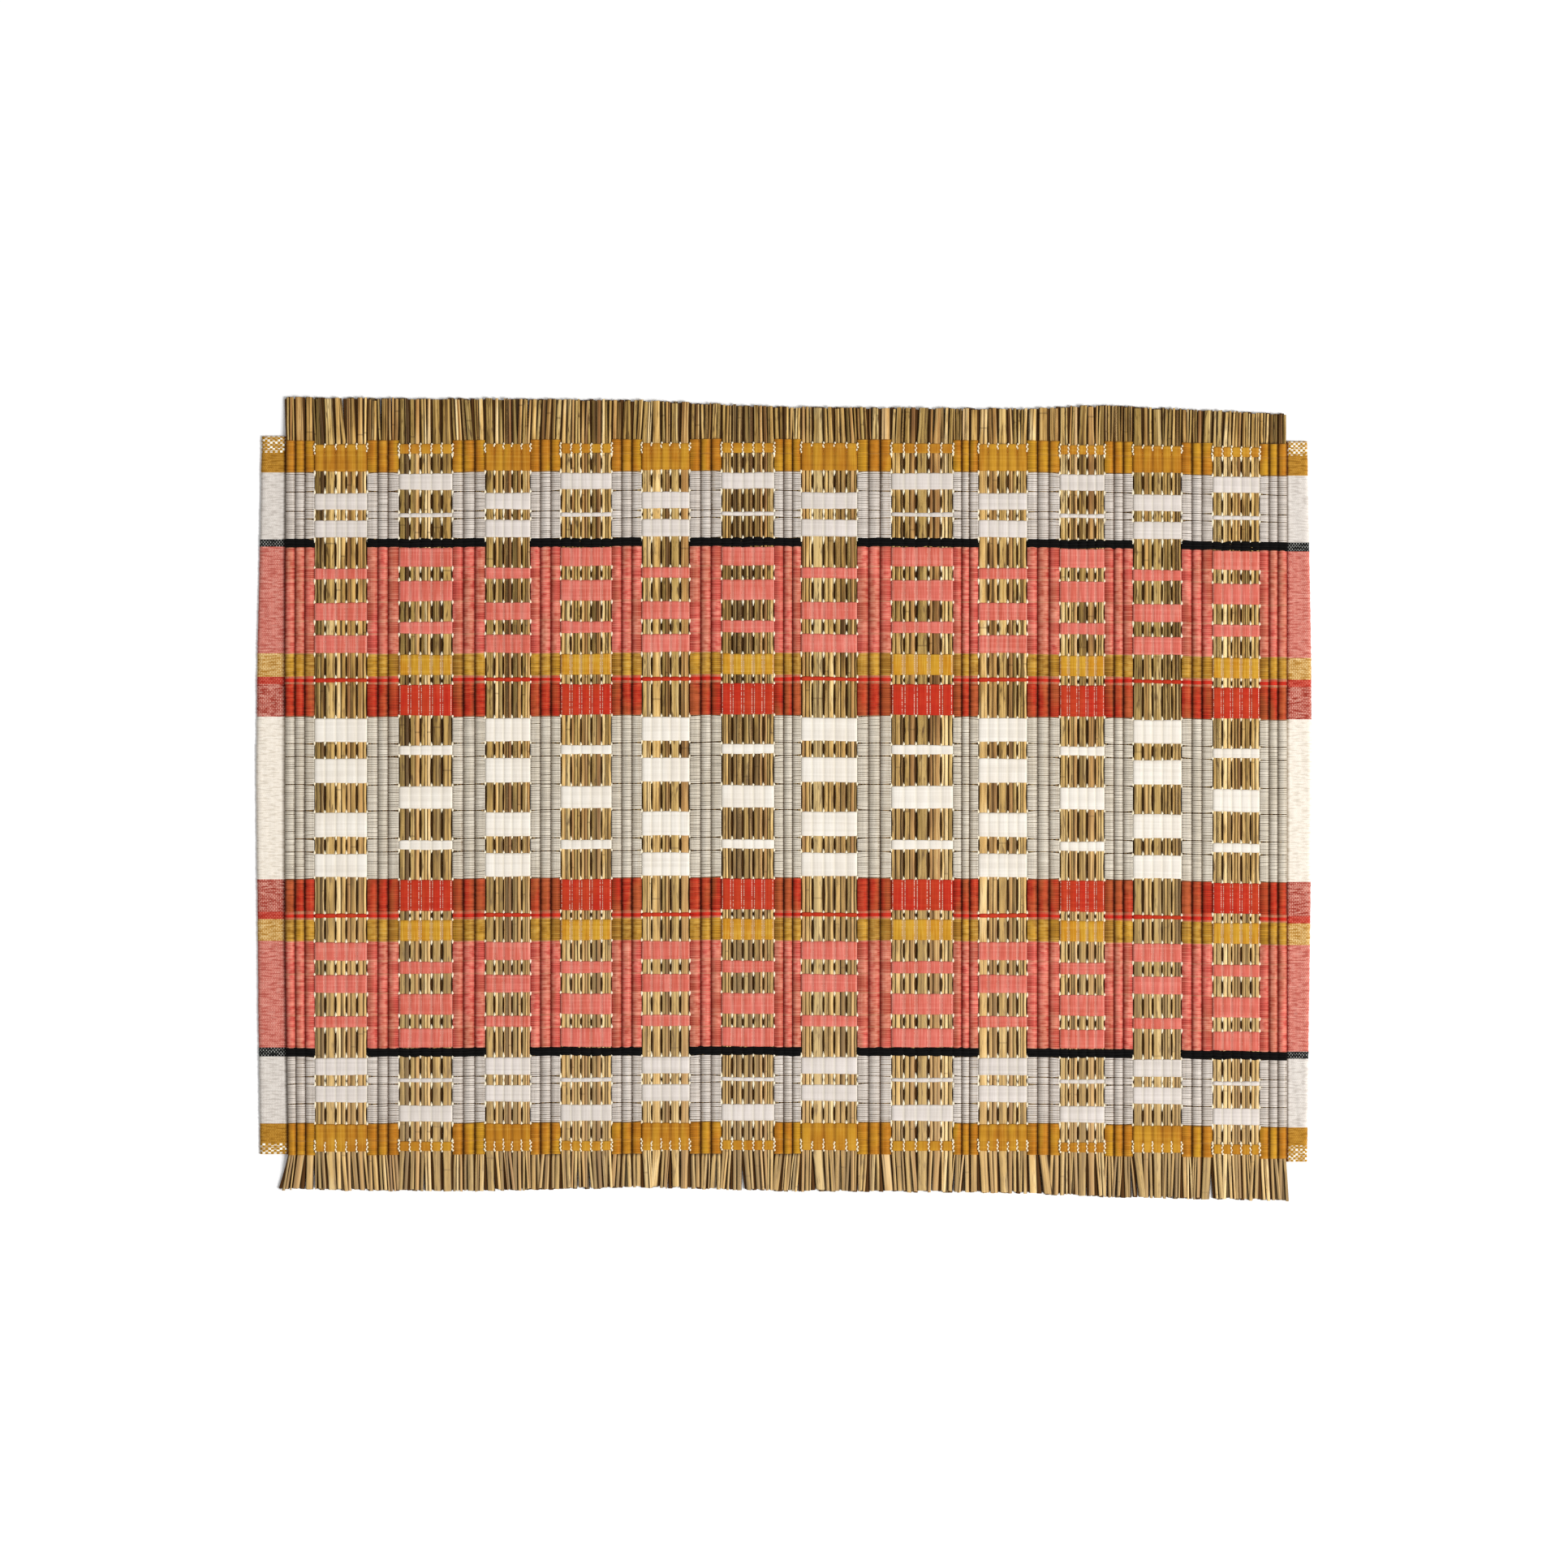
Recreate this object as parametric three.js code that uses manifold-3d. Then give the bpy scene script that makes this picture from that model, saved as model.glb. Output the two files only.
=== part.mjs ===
// A woven placemat lying flat: cotton over bundles of split reed that make ribs across the mat.
// X runs along the mat, Y across it towards its back edge, and Z up from the table.
import * as THREE from "three";
import { mergeVertices } from "three/addons/utils/BufferGeometryUtils.js";
import Module from "manifold-3d";

const wasm = await Module();
wasm.setup();

// Driving dimensions, in millimetres.
const RIB_CREST = 3.0; // cloth thickness over the middle of a reed bundle
const RIB_SHOULDER = 2.6; // thickness over a bundle's rounded sides
const RIB_GROOVE = 1.6; // thickness between two bundles
const SHOULDER_SHARE = 0.26; // where the shoulder lies, as a share of the rib's width
const GROOVE_WANDER = 0.22; // how far a groove strays from its even place

const HEM_THICKNESS = 1.2; // the plain-woven ends, turned and sewn
const HEM_TUCK = 2.0; // how far a hem's root reaches under the last rib
const TUCK_INSET = 1.0; // how far the tuck stops short of the cloth's partings
const HEM_EDGE_STEPS = 14; // points along a hem's wavy outer edge

const STRIP_DEPTH = 4.0; // the edge of the cloth that holds the reed ends
const PART_GAP = 0.3; // the parting between that strip and the cloth
const REED_ROOT_HEIGHT = 2.3;
const REED_TIP_HEIGHT = 1.8;
const ROOT_SHARES = { foot: 0.84, top: 0.48 }; // a reed end's widths as shares of its rib's
const TIP_SHARES = { foot: 0.8, top: 0.5 };
const TIP_WANDER = 0.7; // how far a tip strays from the row's line
const TIP_SKEW = 0.15; // how far a cut tip runs askew, for each millimetre of its width
const TIP_LEAN = 0.18; // how far a tip leans to one side

// Ribs in a plain column and in a patterned one.
const RIBS = { ground: 3, pattern: 5 };

// Widths from left to right: each plain column, then the patterned column to its right.
const COLUMNS = [
  { ground: 15.1, pattern: 25.1 },
  { ground: 15.1, pattern: 25.5 },
  { ground: 15.5, pattern: 21.6 },
  { ground: 14.3, pattern: 24.3 },
  { ground: 14.3, pattern: 22.8 },
  { ground: 15.1, pattern: 25.1 },
  { ground: 12.8, pattern: 26.7 },
  { ground: 16.2, pattern: 29.4 },
  { ground: 12.0, pattern: 23.2 },
  { ground: 15.5, pattern: 21.3 },
  { ground: 13.5, pattern: 23.2 },
  { ground: 14.7, pattern: 22.4 },
  { ground: 13.1, pattern: 0 },
];

// Where the cloth's long edges and the reed tips lie in Y, at places along the mat.
const LONG_EDGES = [
  { x: -239, clothBack: 171.4, tipBack: 190.9, clothFront: -167.5, tipFront: -185.7 },
  { x: -150, clothBack: 170.5, tipBack: 190.4, clothFront: -167.8, tipFront: -186.4 },
  { x: -70, clothBack: 169.5, tipBack: 189.6, clothFront: -168.0, tipFront: -184.5 },
  { x: 0, clothBack: 169.0, tipBack: 186.3, clothFront: -168.3, tipFront: -186.2 },
  { x: 110, clothBack: 168.4, tipBack: 185.6, clothFront: -168.9, tipFront: -187.2 },
  { x: 150, clothBack: 168.2, tipBack: 187.2, clothFront: -169.5, tipFront: -189.0 },
  { x: 239, clothBack: 167.9, tipBack: 183.0, clothFront: -171.0, tipFront: -190.9 },
];

// How far the outer edge of each hem lies from the mat's middle, from the back to the front.
const HEM_EDGES = [
  { y: 171, left: 249.8, right: 248.6 },
  { y: 131, left: 249.6, right: 249.4 },
  { y: 69, left: 251.0, right: 250.5 },
  { y: 8, left: 251.6, right: 250.8 },
  { y: -46, left: 251.0, right: 250.2 },
  { y: -108, left: 250.5, right: 249.4 },
  { y: -170, left: 251.3, right: 248.6 },
];

// Where each hem's back and front corner lies in Y.
const HEM_ENDS = {
  left: { back: 171.6, front: -169.0 },
  right: { back: 170.2, front: -172.6 },
};

const SAME_POINT = 1e-4; // corners nearer than this are one corner
const FIRST_SEED = { back: 3, front: 7 }; // where each row's fixed unevenness starts

const COTTON = new THREE.MeshStandardMaterial({ color: 0xd98f6c, roughness: 0.9, metalness: 0 });
const REED = new THREE.MeshStandardMaterial({ color: 0x96784b, roughness: 0.65, metalness: 0 });

// A fixed number from -1 to 1 for a rib, different for each seed, the same on every run.
function stray(rib, seed) {
  const wave = Math.sin(rib * 12.9898 + seed * 78.233) * 43758.5453;
  return 2 * (wave - Math.floor(wave)) - 1;
}

// The value in a table's column at a place between two of its rows.
function along(table, key, place, column) {
  const falling = table[0][key] > table[1][key];
  const past = table.findIndex((row) => (falling ? row[key] <= place : row[key] >= place));
  const next = past < 0 ? table.length - 1 : Math.max(past, 1);
  const a = table[next - 1];
  const b = table[next];
  const share = (place - a[key]) / (b[key] - a[key]);
  return a[column] + share * (b[column] - a[column]);
}

// The grooves' places along X, one more than there are ribs.
function grooves() {
  const width = COLUMNS.reduce((sum, row) => sum + row.ground + row.pattern, 0);
  const found = [-width / 2];
  for (const row of COLUMNS) {
    for (const kind of ["ground", "pattern"]) {
      const start = found.at(-1);
      const pitch = row[kind] / RIBS[kind];
      for (let rib = 1; pitch > 0 && rib <= RIBS[kind]; rib += 1) {
        const last = rib === RIBS[kind];
        const wander = last ? 0 : GROOVE_WANDER * stray(found.length, 1);
        found.push(start + rib * pitch + wander);
      }
    }
  }
  return found;
}

const GROOVES = grooves();
const RIB_COUNT = GROOVES.length - 1;

// The corners of one rib's section, on a line that runs along X and is given as a function of x.
function ribSection(rib, line, trim) {
  const left = rib === 0 ? GROOVES[0] + trim : GROOVES[rib];
  const right = rib === RIB_COUNT - 1 ? GROOVES[RIB_COUNT] - trim : GROOVES[rib + 1];
  const shoulder = SHOULDER_SHARE * (right - left);
  const corner = (x, z) => [x, line(x), z];
  return {
    leftFoot: corner(left, 0),
    leftGroove: corner(left, RIB_GROOVE),
    leftShoulder: corner(left + shoulder, RIB_SHOULDER),
    crest: corner((left + right) / 2, RIB_CREST),
    rightShoulder: corner(right - shoulder, RIB_SHOULDER),
    rightGroove: corner(right, RIB_GROOVE),
    rightFoot: corner(right, 0),
  };
}

// The ridge of one rib between two sections, as four faces seen from above.
function ridgeFaces(a, b) {
  return [
    [a.leftGroove, a.leftShoulder, b.leftShoulder, b.leftGroove],
    [a.leftShoulder, a.crest, b.crest, b.leftShoulder],
    [a.crest, a.rightShoulder, b.rightShoulder, b.crest],
    [a.rightShoulder, a.rightGroove, b.rightGroove, b.rightShoulder],
  ];
}

// The flat wall that closes a rib where its section starts.
function startWall(a) {
  return [
    a.leftFoot,
    a.rightFoot,
    a.rightGroove,
    a.rightShoulder,
    a.crest,
    a.leftShoulder,
    a.leftGroove,
  ];
}

// The walls at the two ends of a band of ribs, whose sections run from a to b.
function sideWalls(first, last) {
  return [
    [first.a.leftFoot, first.a.leftGroove, first.b.leftGroove, first.b.leftFoot],
    [last.a.rightFoot, last.b.rightFoot, last.b.rightGroove, last.a.rightGroove],
  ];
}

// A mesh from convex faces whose corners turn left seen from outside, or right where mirrored.
function meshOf(faces, mirrored) {
  const places = [];
  for (const [first, ...others] of faces) {
    for (let i = 0; i + 1 < others.length; i += 1) {
      const pair = mirrored ? [others[i + 1], others[i]] : [others[i], others[i + 1]];
      places.push(...first, ...pair[0], ...pair[1]);
    }
  }
  return new THREE.BufferGeometry().setAttribute("position", new THREE.Float32BufferAttribute(places, 3));
}

// The ribbed cloth between its two partings, flat below.
function ribbedField() {
  const front = clothLine("clothFront", 1);
  const back = clothLine("clothBack", -1);
  const ribs = GROOVES.slice(1).map((_, rib) => ({
    a: ribSection(rib, front, 0),
    b: ribSection(rib, back, 0),
  }));
  const faces = ribs.flatMap(({ a, b }) => [
    ...ridgeFaces(a, b),
    [a.leftFoot, b.leftFoot, b.rightFoot, a.rightFoot],
    startWall(a),
    startWall(b).reverse(),
  ]);
  return meshOf([...faces, ...sideWalls(ribs[0], ribs.at(-1))], false);
}

// A hem laid flat: its wavy outer edge, its two ends, and a tuck under the last rib.
function hem(side) {
  const sign = side === "left" ? -1 : 1;
  const ends = HEM_ENDS[side];
  const root = side === "left" ? GROOVES[0] : GROOVES[RIB_COUNT];
  const inner = root - sign * HEM_TUCK;
  const tuckBack = clothLine("clothBack", -1)(root) - TUCK_INSET;
  const tuckFront = clothLine("clothFront", 1)(root) + TUCK_INSET;
  const outline = [];
  for (let i = 0; i <= HEM_EDGE_STEPS; i += 1) {
    const y = ends.back + (i / HEM_EDGE_STEPS) * (ends.front - ends.back);
    outline.push(new THREE.Vector2(sign * along(HEM_EDGES, "y", y, side), y));
  }
  outline.push(new THREE.Vector2(root, ends.front));
  outline.push(new THREE.Vector2(root, tuckFront));
  outline.push(new THREE.Vector2(inner, tuckFront));
  outline.push(new THREE.Vector2(inner, tuckBack));
  outline.push(new THREE.Vector2(root, tuckBack));
  outline.push(new THREE.Vector2(root, ends.back));
  return new THREE.ExtrudeGeometry(new THREE.Shape(outline), {
    depth: HEM_THICKNESS,
    bevelEnabled: false,
  });
}

// The line where the cloth is parted from its edge strip, inward is -1 at the back and 1 in front.
function clothLine(column, inward) {
  return (x) => along(LONG_EDGES, "x", x, column) + inward * (STRIP_DEPTH + PART_GAP);
}

// The four corners of a reed end's section: a low trapezium that stands on the table.
function reedSection(rib, shares, height, line, lean) {
  const width = GROOVES[rib + 1] - GROOVES[rib];
  const middle = (GROOVES[rib + 1] + GROOVES[rib]) / 2 + lean;
  const corner = (share, z) => [middle + share * width, line(middle, share * width), z];
  return {
    leftFoot: corner(-shares.foot / 2, 0),
    rightFoot: corner(shares.foot / 2, 0),
    rightTop: corner(shares.top / 2, height),
    leftTop: corner(-shares.top / 2, height),
  };
}

// One rib of an edge strip with its reed end, from the parting at a, past the edge at b, to the tip.
function stripRibFaces(a, b, root, tip) {
  return [
    ...ridgeFaces(a, b),
    startWall(a),
    [a.leftFoot, b.leftFoot, root.leftFoot, root.rightFoot, b.rightFoot, a.rightFoot],
    [b.leftGroove, b.leftShoulder, root.leftTop, root.leftFoot, b.leftFoot],
    [b.crest, b.rightShoulder, root.rightTop, root.leftTop, b.leftShoulder],
    [b.rightGroove, b.rightFoot, root.rightFoot, root.rightTop, b.rightShoulder],
    [root.leftTop, root.rightTop, tip.rightTop, tip.leftTop],
    [root.leftFoot, tip.leftFoot, tip.rightFoot, root.rightFoot],
    [root.leftFoot, root.leftTop, tip.leftTop, tip.leftFoot],
    [root.rightFoot, tip.rightFoot, tip.rightTop, root.rightTop],
    [tip.rightFoot, tip.leftFoot, tip.leftTop, tip.rightTop],
  ];
}

// A closed mesh as a solid that can be joined to others.
function solidOf(geometry) {
  geometry.deleteAttribute("normal");
  geometry.deleteAttribute("uv");
  const merged = mergeVertices(geometry, SAME_POINT);
  return new wasm.Manifold(
    new wasm.Mesh({
      numProp: 3,
      vertProperties: merged.getAttribute("position").array,
      triVerts: new Uint32Array(merged.index.array),
    }),
  );
}

// Several overlapping closed meshes joined into one named mesh.
function joined(name, geometries, material) {
  const whole = geometries.map(solidOf).reduce((sum, solid) => sum.add(solid));
  const mesh = whole.getMesh();
  const geometry = new THREE.BufferGeometry();
  geometry.setAttribute("position", new THREE.BufferAttribute(mesh.vertProperties, 3));
  geometry.setIndex(new THREE.BufferAttribute(mesh.triVerts, 1));
  geometry.computeVertexNormals();
  const piece = new THREE.Mesh(geometry, material);
  piece.name = name;
  return piece;
}

// The cloth with its two hems, up to the partings along its long edges.
function wovenMat() {
  return joined("woven_mat", [ribbedField(), hem("left"), hem("right")], COTTON);
}

// The row of reed ends past one long edge, rooted in the strip at that edge.
function reedEnds(name, clothColumn, tipColumn, seed) {
  const edge = (x) => along(LONG_EDGES, "x", x, clothColumn);
  const outward = Math.sign(along(LONG_EDGES, "x", 0, tipColumn) - edge(0));
  const parted = (x) => edge(x) - outward * STRIP_DEPTH;
  const ribs = GROOVES.slice(1).map((_, rib) => {
    const skew = TIP_SKEW * stray(rib, seed);
    const wander = TIP_WANDER * stray(rib, seed + 1);
    const tipLine = (x, off) => along(LONG_EDGES, "x", x, tipColumn) + wander + skew * off;
    const lean = TIP_LEAN * stray(rib, seed + 2);
    return {
      a: ribSection(rib, parted, PART_GAP),
      b: ribSection(rib, edge, PART_GAP),
      root: reedSection(rib, ROOT_SHARES, REED_ROOT_HEIGHT, (x, off) => edge(x + off), 0),
      tip: reedSection(rib, TIP_SHARES, REED_TIP_HEIGHT, tipLine, lean),
    };
  });
  const faces = ribs.flatMap(({ a, b, root, tip }) => stripRibFaces(a, b, root, tip));
  const whole = meshOf([...faces, ...sideWalls(ribs[0], ribs.at(-1))], outward < 0);
  return joined(name, [whole], REED);
}

const placemat = new THREE.Group();
placemat.add(wovenMat());
placemat.add(reedEnds("reed_ends_back", "clothBack", "tipBack", FIRST_SEED.back));
placemat.add(reedEnds("reed_ends_front", "clothFront", "tipFront", FIRST_SEED.front));

// The origin is the middle of the mat's footprint, on the table.
const footprint = new THREE.Box3().setFromObject(placemat).getCenter(new THREE.Vector3());
placemat.position.set(-footprint.x, -footprint.y, 0);

export default placemat;
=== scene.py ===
"""A handwoven reed and cotton placemat, lying flat.

Bundles of split reed lie side by side across the mat. Striped cotton yarns run along it: in the
ground columns they wrap every rib, and in the pattern columns each band of yarn lies on top of the
reeds or passes under them. A fine cream thread runs in every groove between two bundles.

Lengths are in millimetres. Along the mat is X and across it is Y. A rib is one bundle with its
yarns, a groove parts two ribs, and a row is a distance from the mat's middle line to its back, or to
its front where it is negative. A share runs from 0 at a rib's left groove to 1 at its right.
"""

import bpy
import numpy as np
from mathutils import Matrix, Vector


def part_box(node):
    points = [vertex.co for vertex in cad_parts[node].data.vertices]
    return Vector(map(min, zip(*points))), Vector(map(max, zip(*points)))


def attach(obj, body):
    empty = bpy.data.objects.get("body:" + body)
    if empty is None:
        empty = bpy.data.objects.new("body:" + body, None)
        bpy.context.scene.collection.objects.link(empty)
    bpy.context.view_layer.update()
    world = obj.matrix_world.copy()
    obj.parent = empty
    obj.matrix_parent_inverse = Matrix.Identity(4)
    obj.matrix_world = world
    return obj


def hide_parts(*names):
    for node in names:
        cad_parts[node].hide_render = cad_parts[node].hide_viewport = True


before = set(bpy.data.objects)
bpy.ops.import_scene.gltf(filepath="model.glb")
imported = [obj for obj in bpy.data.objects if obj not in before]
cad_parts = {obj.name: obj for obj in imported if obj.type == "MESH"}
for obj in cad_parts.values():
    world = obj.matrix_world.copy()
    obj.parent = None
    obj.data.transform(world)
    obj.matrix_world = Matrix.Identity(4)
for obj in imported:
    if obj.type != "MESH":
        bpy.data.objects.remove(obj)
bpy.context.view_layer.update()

MM = 0.001
PHOTO_PX = 1932
MM_PER_PX = 0.3864
MAT_MIDDLE_PX = (967.0, 984.5)

# Heights in the cloth.
THICK = 3.0
GROOVE_TOP = 1.6
CREASE_TOP = 2.72
UNDERSIDE_TOP = 0.75
HEM_THICK = 1.25

# The cloth's plan. A pitch is the distance from one yarn to the next.
HALF_DEPTH = 170.0
CENTRE_Y = 1.35
SOLID_BACK = 171.6
PITCH = 0.86
WEFT_PITCH = 0.46
RIB_WANDER = 0.22
REED_INSET = 0.3
FIRST_GROOVES_IN = (0.9, 0.5, 0.25)
RIBS = {"ground": 3, "a": 5, "b": 5}
COLUMNS = (
    ("ground", 15.1), ("a", 25.1), ("ground", 15.1), ("b", 25.5), ("ground", 15.5), ("a", 21.6),
    ("ground", 14.3), ("b", 24.3), ("ground", 14.3), ("a", 22.8), ("ground", 15.1), ("b", 25.1),
    ("ground", 12.8), ("a", 26.7), ("ground", 16.2), ("b", 29.4), ("ground", 12.0), ("a", 23.2),
    ("ground", 15.5), ("b", 21.3), ("ground", 13.5), ("a", 23.2), ("ground", 14.7), ("b", 22.4),
    ("ground", 13.1),
)

# Bands from the middle row outwards: colour, the columns that show it, and where it ends.
BANDS = (
    ("cream", "b", 6.2), ("cream", "a", 19.5), ("cream", "b", 25.7), ("cream", "a", 38.6),
    ("red", "b", 54.3), ("scarlet", "a", 57.8), ("yellow", "b", 68.4), ("pink", "a", 77.7),
    ("pink", "b", 84.0), ("pink", "a", 93.1), ("pink", "b", 103.6), ("pink", "a", 109.5),
    ("pink", "b", 119.2), ("black", "b", 123.0), ("white", "a", 132.7), ("white", "b", 136.2),
    ("white", "a", 145.6), ("white", "b", 154.9), ("mustard", "a", 163.2), ("mustard", "ab", 170.0),
)
PALE = ("cream", "white")
COTTONS = ("mustard", "white", "black", "pink", "red", "cream", "yellow", "scarlet")
CHECK_FROM = 164.2

# How much narrower a band is on top of the reeds, and how far the last one stops short of the edge.
GAP = {
    "cream": 1.7, "white": 1.5, "red": 0.9, "scarlet": 1.5, "mustard": 0.7, "yellow": 0.7,
    "pink": 0.6, "black": 0.3,
}
SELVEDGE = 1.8

# How far the rows sag towards the front, at places along the mat.
SAG_AT = (-240, -190, -112, -37, 43, 123, 196, 234)
SAG = (0.8, 0.8, 0.4, 0.0, 0.4, 0.8, 1.75, 2.4)

# How far the first ribs bend to the right at rows across the mat, and its share at places along it.
BEND_AT = (-160, -60, 60, 165)
BEND = (1.9, 0.2, 0.2, 0.7)
BEND_SHARE_AT = (-249, -240, -232, -216)
BEND_SHARE = (0.0, 1.0, 0.35, 0.0)

# How far the reeds past the front edge splay, for each millimetre out, at places along the mat.
SPLAY_AT = (-239, -222, 225, 239)
SPLAY = (-0.3, 0.0, 0.0, 0.05)

# Where the reed tips lie, at places along the mat, and the hems' outer edges, at places across it.
TIPS_AT = (-239, -150, -70, 0, 110, 150, 239)
TIPS_BACK = (190.9, 190.4, 189.6, 186.3, 185.6, 187.2, 183.0)
TIPS_FRONT = (-185.7, -186.4, -184.5, -186.2, -187.2, -189.0, -190.9)
HEMS_AT = (-170, -108, -46, 8, 69, 131, 171)
HEM_LEFT = (-249.6, -250.5, -251.0, -251.6, -251.0, -249.6, -248.9)
HEM_RIGHT = (248.6, 249.4, 250.2, 250.8, 250.5, 249.4, 248.6)
HEM_ENDS = {"left": (-169.0, 172.6), "right": (-172.6, 170.2)}


def stray(index, seed):
    """A fixed number from -1 to 1: the fraction of a large sine, as the solids' own ribs use."""
    wave = np.sin(np.asarray(index) * 12.9898 + seed * 78.233) * 43758.5453
    return 2 * (wave - np.floor(wave)) - 1


def smooth_noise(place, seed, scale):
    """Value noise along a line: fixed numbers at whole steps, joined by a smooth step."""
    place = np.asarray(place, float) / scale
    low = np.floor(place)
    part = place - low
    part = part * part * (3 - 2 * part)
    return stray(low, seed) * (1 - part) + stray(low + 1, seed) * part


def find_grooves():
    """Running sum of even ribs in each column, with the inner grooves strayed a little."""
    found = [-sum(wide for _, wide in COLUMNS) / 2]
    for kind, wide in COLUMNS:
        count = RIBS[kind]
        start = found[-1]
        for rib in range(1, count + 1):
            wander = 0 if rib == count else RIB_WANDER * float(stray(len(found), 1))
            found.append(start + rib * wide / count + wander)
    return np.array(found)


def find_columns():
    """Each column as its kind, the number of its first rib and the number after its last."""
    ends = np.cumsum([0] + [RIBS[kind] for kind, _ in COLUMNS])
    return [(kind, int(a), int(b)) for (kind, _), a, b in zip(COLUMNS, ends[:-1], ends[1:])]


def find_bands():
    """The half list of bands mirrored about the middle row, as colour, columns, low and high row."""
    starts = [0.0] + [end for _, _, end in BANDS[:-1]]
    upper = [(colour, shown, start, end) for (colour, shown, end), start in zip(BANDS, starts)]
    colour, shown, _, end = upper[0]
    lower = [(c, s, -high, -low) for c, s, low, high in upper[:0:-1]]
    return lower + [(colour, shown, -end, end)] + upper[1:]


GROOVES = find_grooves()
RIB_COUNT = len(GROOVES) - 1
ALL_COLUMNS = find_columns()
ALL_BANDS = find_bands()
PATTERN_COLUMNS = [column for column in ALL_COLUMNS if column[0] != "ground"]
RIB_KINDS = [kind for kind, first, last in ALL_COLUMNS for _ in range(first, last)]
GROUND_RIBS = [rib for rib, kind in enumerate(RIB_KINDS) if kind == "ground"]
GROUND_SIDES = [
    (column, GROUND_RIBS.index(first), GROUND_RIBS.index(last - 1))
    for column, (kind, first, last) in enumerate(ALL_COLUMNS) if kind == "ground"
]
PATTERN_EDGES = np.array([GROOVES[rib] for _, first, last in PATTERN_COLUMNS for rib in (first, last)])

# From the mat's own middle to the solids', then the first grooves moved in.
SHIFT_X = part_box("reed_ends_back")[0][0] / MM - GROOVES[0] - REED_INSET
SHIFT_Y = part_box("woven_mat")[1][1] / MM - SOLID_BACK
GROOVES[:3] += FIRST_GROOVES_IN


def runs_of(kind):
    """Along a pattern column, front to back: [colour on top or None for bare reed, low, high]."""
    found = []
    for colour, shown, low, high in ALL_BANDS:
        look = colour if kind in shown else None
        if found and found[-1][0] == look:
            found[-1][2] = high
        else:
            found.append([look, low, high])
    return found


def stray_of_row(x, row):
    """How far a yarn strays from its row: two slow noises along the mat, one of them shared by all."""
    return 0.12 * smooth_noise(x, 95, 11.0) + 0.18 * smooth_noise(x + 4.7 * row, 96, 13.0)


def row_y(x, row):
    """A row's place across the mat: its distance from the middle, less the sag at x, and its stray."""
    return row + CENTRE_Y - np.interp(x, SAG_AT, SAG) + stray_of_row(x, row)


def crest(share, power):
    """The round of a rib: a half sine across it, raised to a power. Less than 1 is squarer."""
    return np.maximum(np.sin(np.pi * np.clip(share, 0, 1)), 0) ** power


def off_groove(share):
    """From 0 at the two grooves of a rib, straight up to 1 at its middle."""
    return 1 - np.abs(2 * share - 1)


def across_rib(rib, share):
    """The place along the mat of a share across a rib, 0 at its left groove."""
    return GROOVES[rib] + (GROOVES[rib + 1] - GROOVES[rib]) * share


# Meshes.


def add_object(name, data):
    """An object in the scene for one mesh, lamp or camera."""
    added = bpy.data.objects.new(name, data)
    bpy.context.collection.objects.link(added)
    return added


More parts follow.
